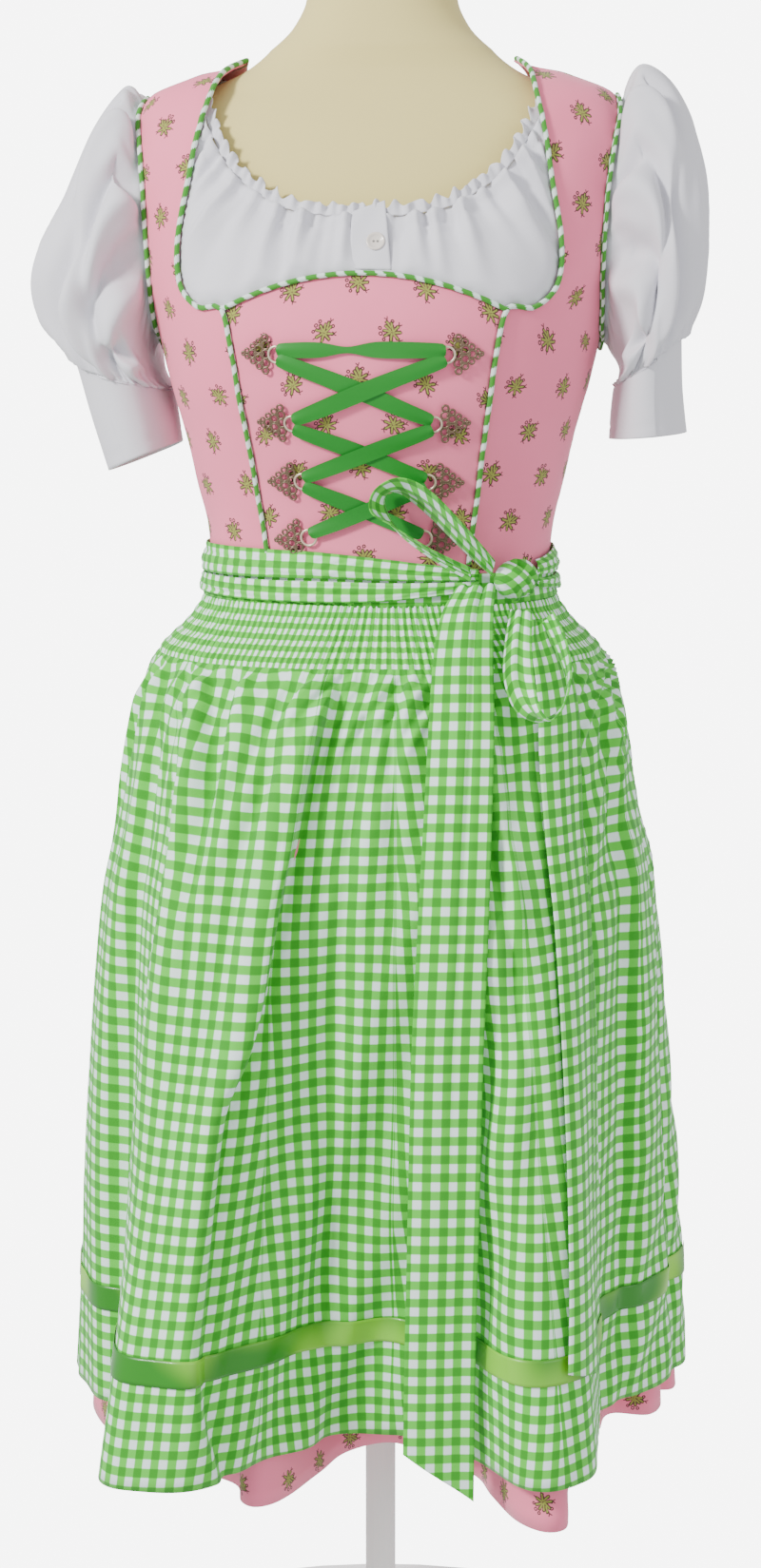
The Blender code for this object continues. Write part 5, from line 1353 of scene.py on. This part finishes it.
def build_waist():
    grid = waist_grid(WAISTBAND, WAISTBAND_LAYER[1] + 0.9 * MM, 240, 8)
    uv = lengthwise_uv(grid) + BAND_CHECK_SHIFT
    make_sheet("apron_waistband", grid, APRON_CHECK, BAND_CLOTH, "laid", "skirt_front", uv)
    for seed, (name, rows) in enumerate((
        ("apron_tie_front_upper", TIE_FRONT_UPPER), ("apron_tie_front_lower", TIE_FRONT_LOWER),
        ("apron_tie_back_upper", TIE_BACK_UPPER), ("apron_tie_back_lower", TIE_BACK_LOWER),
    )):
        grid = waist_grid(rows, TIE_OUT, TIE_COLUMNS, TIE_ROWS)
        grid = laid(grid, TIE_OUT - TIE_TUCK * soft_step(grid[..., 2], TIE_TUCK_FROM, TIE_TUCK_TO))
        along = lengths(grid)
        share = np.linspace(0, 1, TIE_ROWS)[:, None]
        bulge = np.sin(math.pi * share)
        height = 1.5 * MM * bulge ** 0.6
        for line, crease in enumerate(TIE_CREASES):
            run = crease.slope * (along / along[:, -1:] - 0.5) * 0.4
            middle = crease.across + 0.16 * np.sin(along / 0.055 + 2.1 * line + seed) + run
            strength = 0.5 + 0.5 * np.sin(along / 0.034 + line * 1.7 + seed * 2)
            height = height - 1.3 * MM * strength * hump(share, middle, 0.09)
        height = height + ripple(along + share * 0.03, 0.5, 16, seed + 80) * bulge
        shown = raised(grid, height)
        uv = lengthwise_uv(shown) * (1, TIE_STRETCH) + TIE_CHECK_SHIFT * seed
        make_sheet(name, shown, APRON_CHECK, TIE_CLOTH, "folded", "apron_waistband", uv)


# ---------------------------------------------------------------- bow

# Points along and across each band
LOOP_GRID, TAIL_LONG_GRID, TAIL_SHORT_GRID = (130, 26), (240, 34), (170, 26)


def band_grid(rows, count, columns):
    places = np.linspace(0, len(rows) - 1, count)
    middles = spline([Vector((r.x, r.y, r.z)) * MM for r in rows], places)
    across = spline([Vector(r.across) * MM for r in rows], places)
    return middles[:, None] + across[:, None] * np.linspace(-1, 1, columns)[None, :, None]


def plain_normals(grid):
    normal = np.cross(np.gradient(grid, axis=0), np.gradient(grid, axis=1))
    return normal / np.linalg.norm(normal, axis=-1, keepdims=True)


def bandwise_uv(grid):
    """lengthwise_uv for a band that runs down the grid's rows."""
    return np.swapaxes(lengthwise_uv(np.swapaxes(grid, 0, 1)), 0, 1)[..., ::-1]


def across_and_along(count, columns):
    """-1 to 1 across a band, and 0 to 1 along it."""
    return np.linspace(-1, 1, columns)[None], np.linspace(0, 1, count)[:, None]


def make_band(name, grid, height, shift=0.0):
    shown = grid + plain_normals(grid) * height[..., None]
    uv = bandwise_uv(shown) + shift
    made = make_sheet(name, shown, APRON_CHECK, BOW_CLOTH, "folded", "apron_knot", uv)
    made.modifiers["thickness"].offset = 0


def build_bow():
    for word, rows, seed in (("upper", LOOP_UPPER, 1), ("lower", LOOP_LOWER, 2)):
        grid = band_grid(rows, *LOOP_GRID)
        across, along = across_and_along(*LOOP_GRID)
        pinch = np.exp(-along / 0.16) + np.exp(-(1 - along) / 0.16)
        cup = 1.6 * (across ** 2 - 0.4) * (1 - 0.6 * pinch)
        pleats = 1.5 * pinch * np.cos(across * 8 + seed)
        twist = 0.9 * np.sin(across * 4 + along * 9 + seed) * np.sin(math.pi * along)
        make_band(f"apron_bow_loop_{word}", grid, (cup + pleats + twist) * MM, TIE_CHECK_SHIFT * seed)
    build_long_tail()
    build_short_tail()
    build_knot()


def build_long_tail():
    across, along = across_and_along(*TAIL_LONG_GRID)
    pinch = np.exp(-along / 0.06)
    pleats = 2.2 * pinch * np.cos(across * 9)
    cup = 1.8 * (1 - pinch) * np.sin(across * 2.6 + 1.2 + 1.5 * along)
    crease = -2.6 * hump(across, 0.42 - 0.35 * along, 0.12) * soft_step(1 - along, 0.1, 0.6)
    height = (pleats + cup + crease) * MM + ripple(along * 0.66 + across * 0.01, 1.0, 110, 91)
    make_band("apron_tail_long", band_grid(TAIL_LONG, *TAIL_LONG_GRID), height)


def build_short_tail():
    """It lies on the apron's lobes, so it is placed by the hem it hangs above."""
    rising = [f for f in APRON_FOLDS if 28 < f.deg < 90]
    across, along = across_and_along(*TAIL_SHORT_GRID)

    def place(level, side):
        hem_deg, half_deg, out, slant = table_at(TAIL_SHORT[::-1], level)
        deg = hem_deg + side * half_deg
        radius = table_at(rising, deg)[0]
        on_apron = hang(np.array([deg]), np.array([radius]), [level - side * slant], APRON_HEM_Z, True)[0, 0]
        outward = np.array([*on_apron[:2], 0]) / math.hypot(*on_apron[:2])
        return on_apron + outward * (out + 1.2) * MM

    levels = np.linspace(TAIL_SHORT[0].z, TAIL_SHORT[-1].z, TAIL_SHORT_GRID[0])
    grid = np.array([[place(level, side) for side in across[0]] for level in levels])
    pinch = np.exp(-along / 0.08)
    height = 1.6 * pinch * np.cos(across * 8) + 1.3 * (1 - pinch) * np.cos(across * 2.4 + 0.6 + along)
    shown = raised(grid, height * MM)
    uv = bandwise_uv(shown) + 6 * MM
    make_sheet("apron_tail_short", shown, APRON_CHECK, BOW_CLOTH, "folded", "apron_knot", uv)


def build_knot():
    turn = math.radians(KNOT_DEG)
    along = np.array([math.cos(turn), math.sin(turn), 0])
    outward = np.array([math.sin(turn), -math.cos(turn), 0])
    up = np.array([0, 0, 1])
    reach, depth, rise = (size * MM for size in KNOT_SIZE)
    tilt = np.linspace(0.02, math.pi - 0.02, 60)[:, None]
    spin = full_turn(90)[None]
    side, front, high = np.cos(spin) * np.sin(tilt), np.sin(spin) * np.sin(tilt), np.cos(tilt) + 0 * spin
    wrap, across = 0.75 * side + 0.62 * high, 0.75 * high - 0.62 * side
    fold = 0.07 * np.cos(wrap * 9) + 0.05 * np.cos(wrap * 21 + 1) - 0.16 * hump(wrap, 0.42, 0.07)
    size = 1 + fold * soft_step(front, -0.4, 0.3)
    centre = np.array(KNOT_CENTRE) * MM
    grid = centre + (
        side[..., None] * along * reach + front[..., None] * outward * depth + high[..., None] * up * rise
    ) * size[..., None]
    uv = ring_of(np.stack([wrap * 1.15 * reach, across * 1.1 * reach], axis=-1), True)
    make_shell("apron_knot", grid, uv, APRON_CHECK, closed=True, centre=centre[:2])


# ---------------------------------------------------------------- hooks and lacing

# Openwork of a hook in its own plane: distance towards its tip and up from its eye, and radius, in
# millimetres
Scroll = namedtuple("Scroll", "ahead up radius wire")
SCROLLS = table(
    Scroll, (9.2, 0, 3.1, 0.85), (9.4, 6.6, 3, 0.75), (9.6, 12.2, 2.3, 0.85), (14.8, 3.4, 2.9, 0.75),
    (14.6, 9, 2.1, 0.8), (20, 0, 2.7, 0.75), (19.4, 5.4, 1.9, 0.8), (24, 2.2, 1.5, 0.75),
    (26.8, 0, 1.2, 0.95), (12, 0, 1.2, 0.7), (17.4, 0, 1, 0.7), (12.2, 6.4, 1.1, 0.7),
)
SCROLLS += [s._replace(up=-s.up) for s in SCROLLS if s.up]
EYE = Scroll(1, 0, 6.0, 1.0)
FILIGREE_OUT, EYE_OUT = 8.6 * MM, 9 * MM


def ring_mesh(scrolls, place, ahead, up, outward, out):
    """Points and faces of wire rings that lie in one plane."""
    sides, wires = 18, 7
    points, faces = [], []
    for scroll in scrolls:
        start = len(points)
        middle = place + (ahead * scroll.ahead + up * scroll.up) * MM + outward * out
        for a in full_turn(sides):
            spoke = ahead * math.cos(a) + up * math.sin(a)
            for b in full_turn(wires):
                reach = (scroll.radius + scroll.wire * math.cos(b)) * MM
                points.append(middle + spoke * reach + outward * scroll.wire * math.sin(b) * MM)
        for i in range(sides):
            here, ahead_ring = start + i * wires, start + (i + 1) % sides * wires
            for j in range(wires):
                n = (j + 1) % wires
                faces.append((here + j, ahead_ring + j, ahead_ring + n, here + n))
    return points, faces


def build_hooks():
    for row, hook in enumerate(HOOKS):
        lean = math.radians(hook.lean_deg)
        for side, word in ((-1, "left"), (1, "right")):
            place, normal = on_form(on_front(side * hook.eye_x * MM, hook.eye_z * MM))
            ahead = Vector((side * math.cos(lean), 0, -math.sin(lean)))
            ahead = (ahead - normal * ahead.dot(normal)).normalized()
            name = f"hook_{word}_{row + 1}"
            # The eye rings take the pale brass with its painted highlight.
            for part, scrolls, finish, out in (
                ("filigree", SCROLLS, BRASS, FILIGREE_OUT), ("eye", [EYE], HIGHLIT_BRASS, EYE_OUT)
            ):
                points, faces = ring_mesh(scrolls, place, ahead, normal.cross(ahead), normal, out)
                add_mesh(f"{name}_{part}", points, faces, finish, name)


def lace_end(side, row, shift):
    return np.array([side * HOOKS[row].eye_x, HOOKS[row].eye_z + shift])


def build_lacing():
    for number, lace in enumerate(LACING):
        level = lace.from_row == lace.to_row
        start = lace_end(lace.from_side, lace.from_row, LACE_END_OFFSET * (1 if level else -1))
        end = lace_end(lace.to_side, lace.to_row, LACE_END_OFFSET)
        along = (end - start) / np.linalg.norm(end - start)
        across = np.array([-along[1], along[0]])
        sink = LACE_SINK_OVER if lace.over else LACE_SINK_UNDER
        grid = []
        for t in np.linspace(0, 1, 60):
            spread = math.sin(math.pi * t) ** 0.22
            width = LACE_END_WIDTH + (LACE_WIDTH - LACE_END_WIDTH) * spread
            if level:
                width *= 1 - 0.62 * hump(t, 0.42, 0.12)
            out = LACE_OUT - sink * math.sin(math.pi * t) ** 2
            row = []
            for share in np.linspace(-0.5, 0.5, 9):
                x, z = start + (end - start) * t + across * width * share
                curl = 0.25 * math.sin(7 * t + 3 * share) + 0.9 * (1 - spread) * math.cos(2 * math.pi * share)
                row.append(on_front(x * MM, z * MM, (out + curl) * MM))
            grid.append(row)
        grid = np.array(grid)
        name = f"lacing_{number + 1}"
        make_sheet(name, grid, LACE_GREEN, LACE_RIBBON, "laid", "bodice_centre_front", rim=False)


# ---------------------------------------------------------------- the picture

CAMERA_DISTANCE, CAMERA_HEIGHT = 2.25, 1.2075
CAMERA_TURN, CAMERA_PITCH = math.radians(6), math.radians(9.546)
LENS = 65.5
WORLD_STRENGTH = 1.02
BACKDROP_STRENGTH = 7.0
FLOOR_RADIUS = 0.36


def add_light(name, place, aim, size, power, colour):
    light = bpy.data.lights.new(name, "AREA")
    light.size = size
    light.energy = power
    light.color = colour
    made = bpy.data.objects.new(name, light)
    made.location = place
    made.rotation_euler = (Vector(aim) - Vector(place)).to_track_quat("-Z", "Y").to_euler()
    bpy.context.scene.collection.objects.link(made)


def add_stage(name, corners, colour, glow):
    mesh = bpy.data.meshes.new(name)
    mesh.from_pydata(corners, [], [tuple(range(len(corners)))])
    material = bpy.data.materials.new(name)
    material.use_nodes = True
    shader = material.node_tree.nodes["Principled BSDF"]
    shader.inputs["Base Color"].default_value = (*colour, 1)
    shader.inputs["Emission Color"].default_value = (1, 1, 1, 1)
    shader.inputs["Emission Strength"].default_value = glow
    mesh.materials.append(material)
    made = bpy.data.objects.new(name, mesh)
    bpy.context.scene.collection.objects.link(made)


def set_stage():
    world = bpy.data.worlds.new("white room")
    world.use_nodes = True
    world.node_tree.nodes["Background"].inputs["Color"].default_value = (1, 1, 1, 1)
    world.node_tree.nodes["Background"].inputs["Strength"].default_value = WORLD_STRENGTH
    bpy.context.scene.world = world
    floor = [(FLOOR_RADIUS * math.cos(t), FLOOR_RADIUS * math.sin(t), 0) for t in full_turn(48)]
    add_stage("floor", floor, (0.9, 0.9, 0.9), 0)
    backdrop = [(-3.6, 9, -5.5), (2, 9, -5.5), (2, 9, 3.5), (-3.6, 9, 3.5)]
    add_stage("backdrop", backdrop, (0, 0, 0), BACKDROP_STRENGTH)
    add_light("key", (-1.9, -2.0, 2.5), (0, 0, 0.95), 0.5, 135, (1, 0.99, 0.97))
    add_light("fill", (2.2, -1.6, 1.3), (0, 0, 0.9), 1.2, 12, (0.97, 0.98, 1))
    camera = bpy.data.objects.new("camera", bpy.data.cameras.new("camera"))
    camera.data.lens = LENS
    camera.location = (
        CAMERA_DISTANCE * math.sin(CAMERA_TURN), -CAMERA_DISTANCE * math.cos(CAMERA_TURN), CAMERA_HEIGHT
    )
    camera.rotation_euler = (math.pi / 2 - CAMERA_PITCH, 0, CAMERA_TURN)
    bpy.context.scene.collection.objects.link(camera)
    bpy.context.scene.camera = camera


build_form()
ARMHOLES, NECK = build_bodice()
build_blouse(ARMHOLES, NECK)
build_skirt()
build_apron()
build_waist()
build_bow()
build_hooks()
build_lacing()
set_stage()
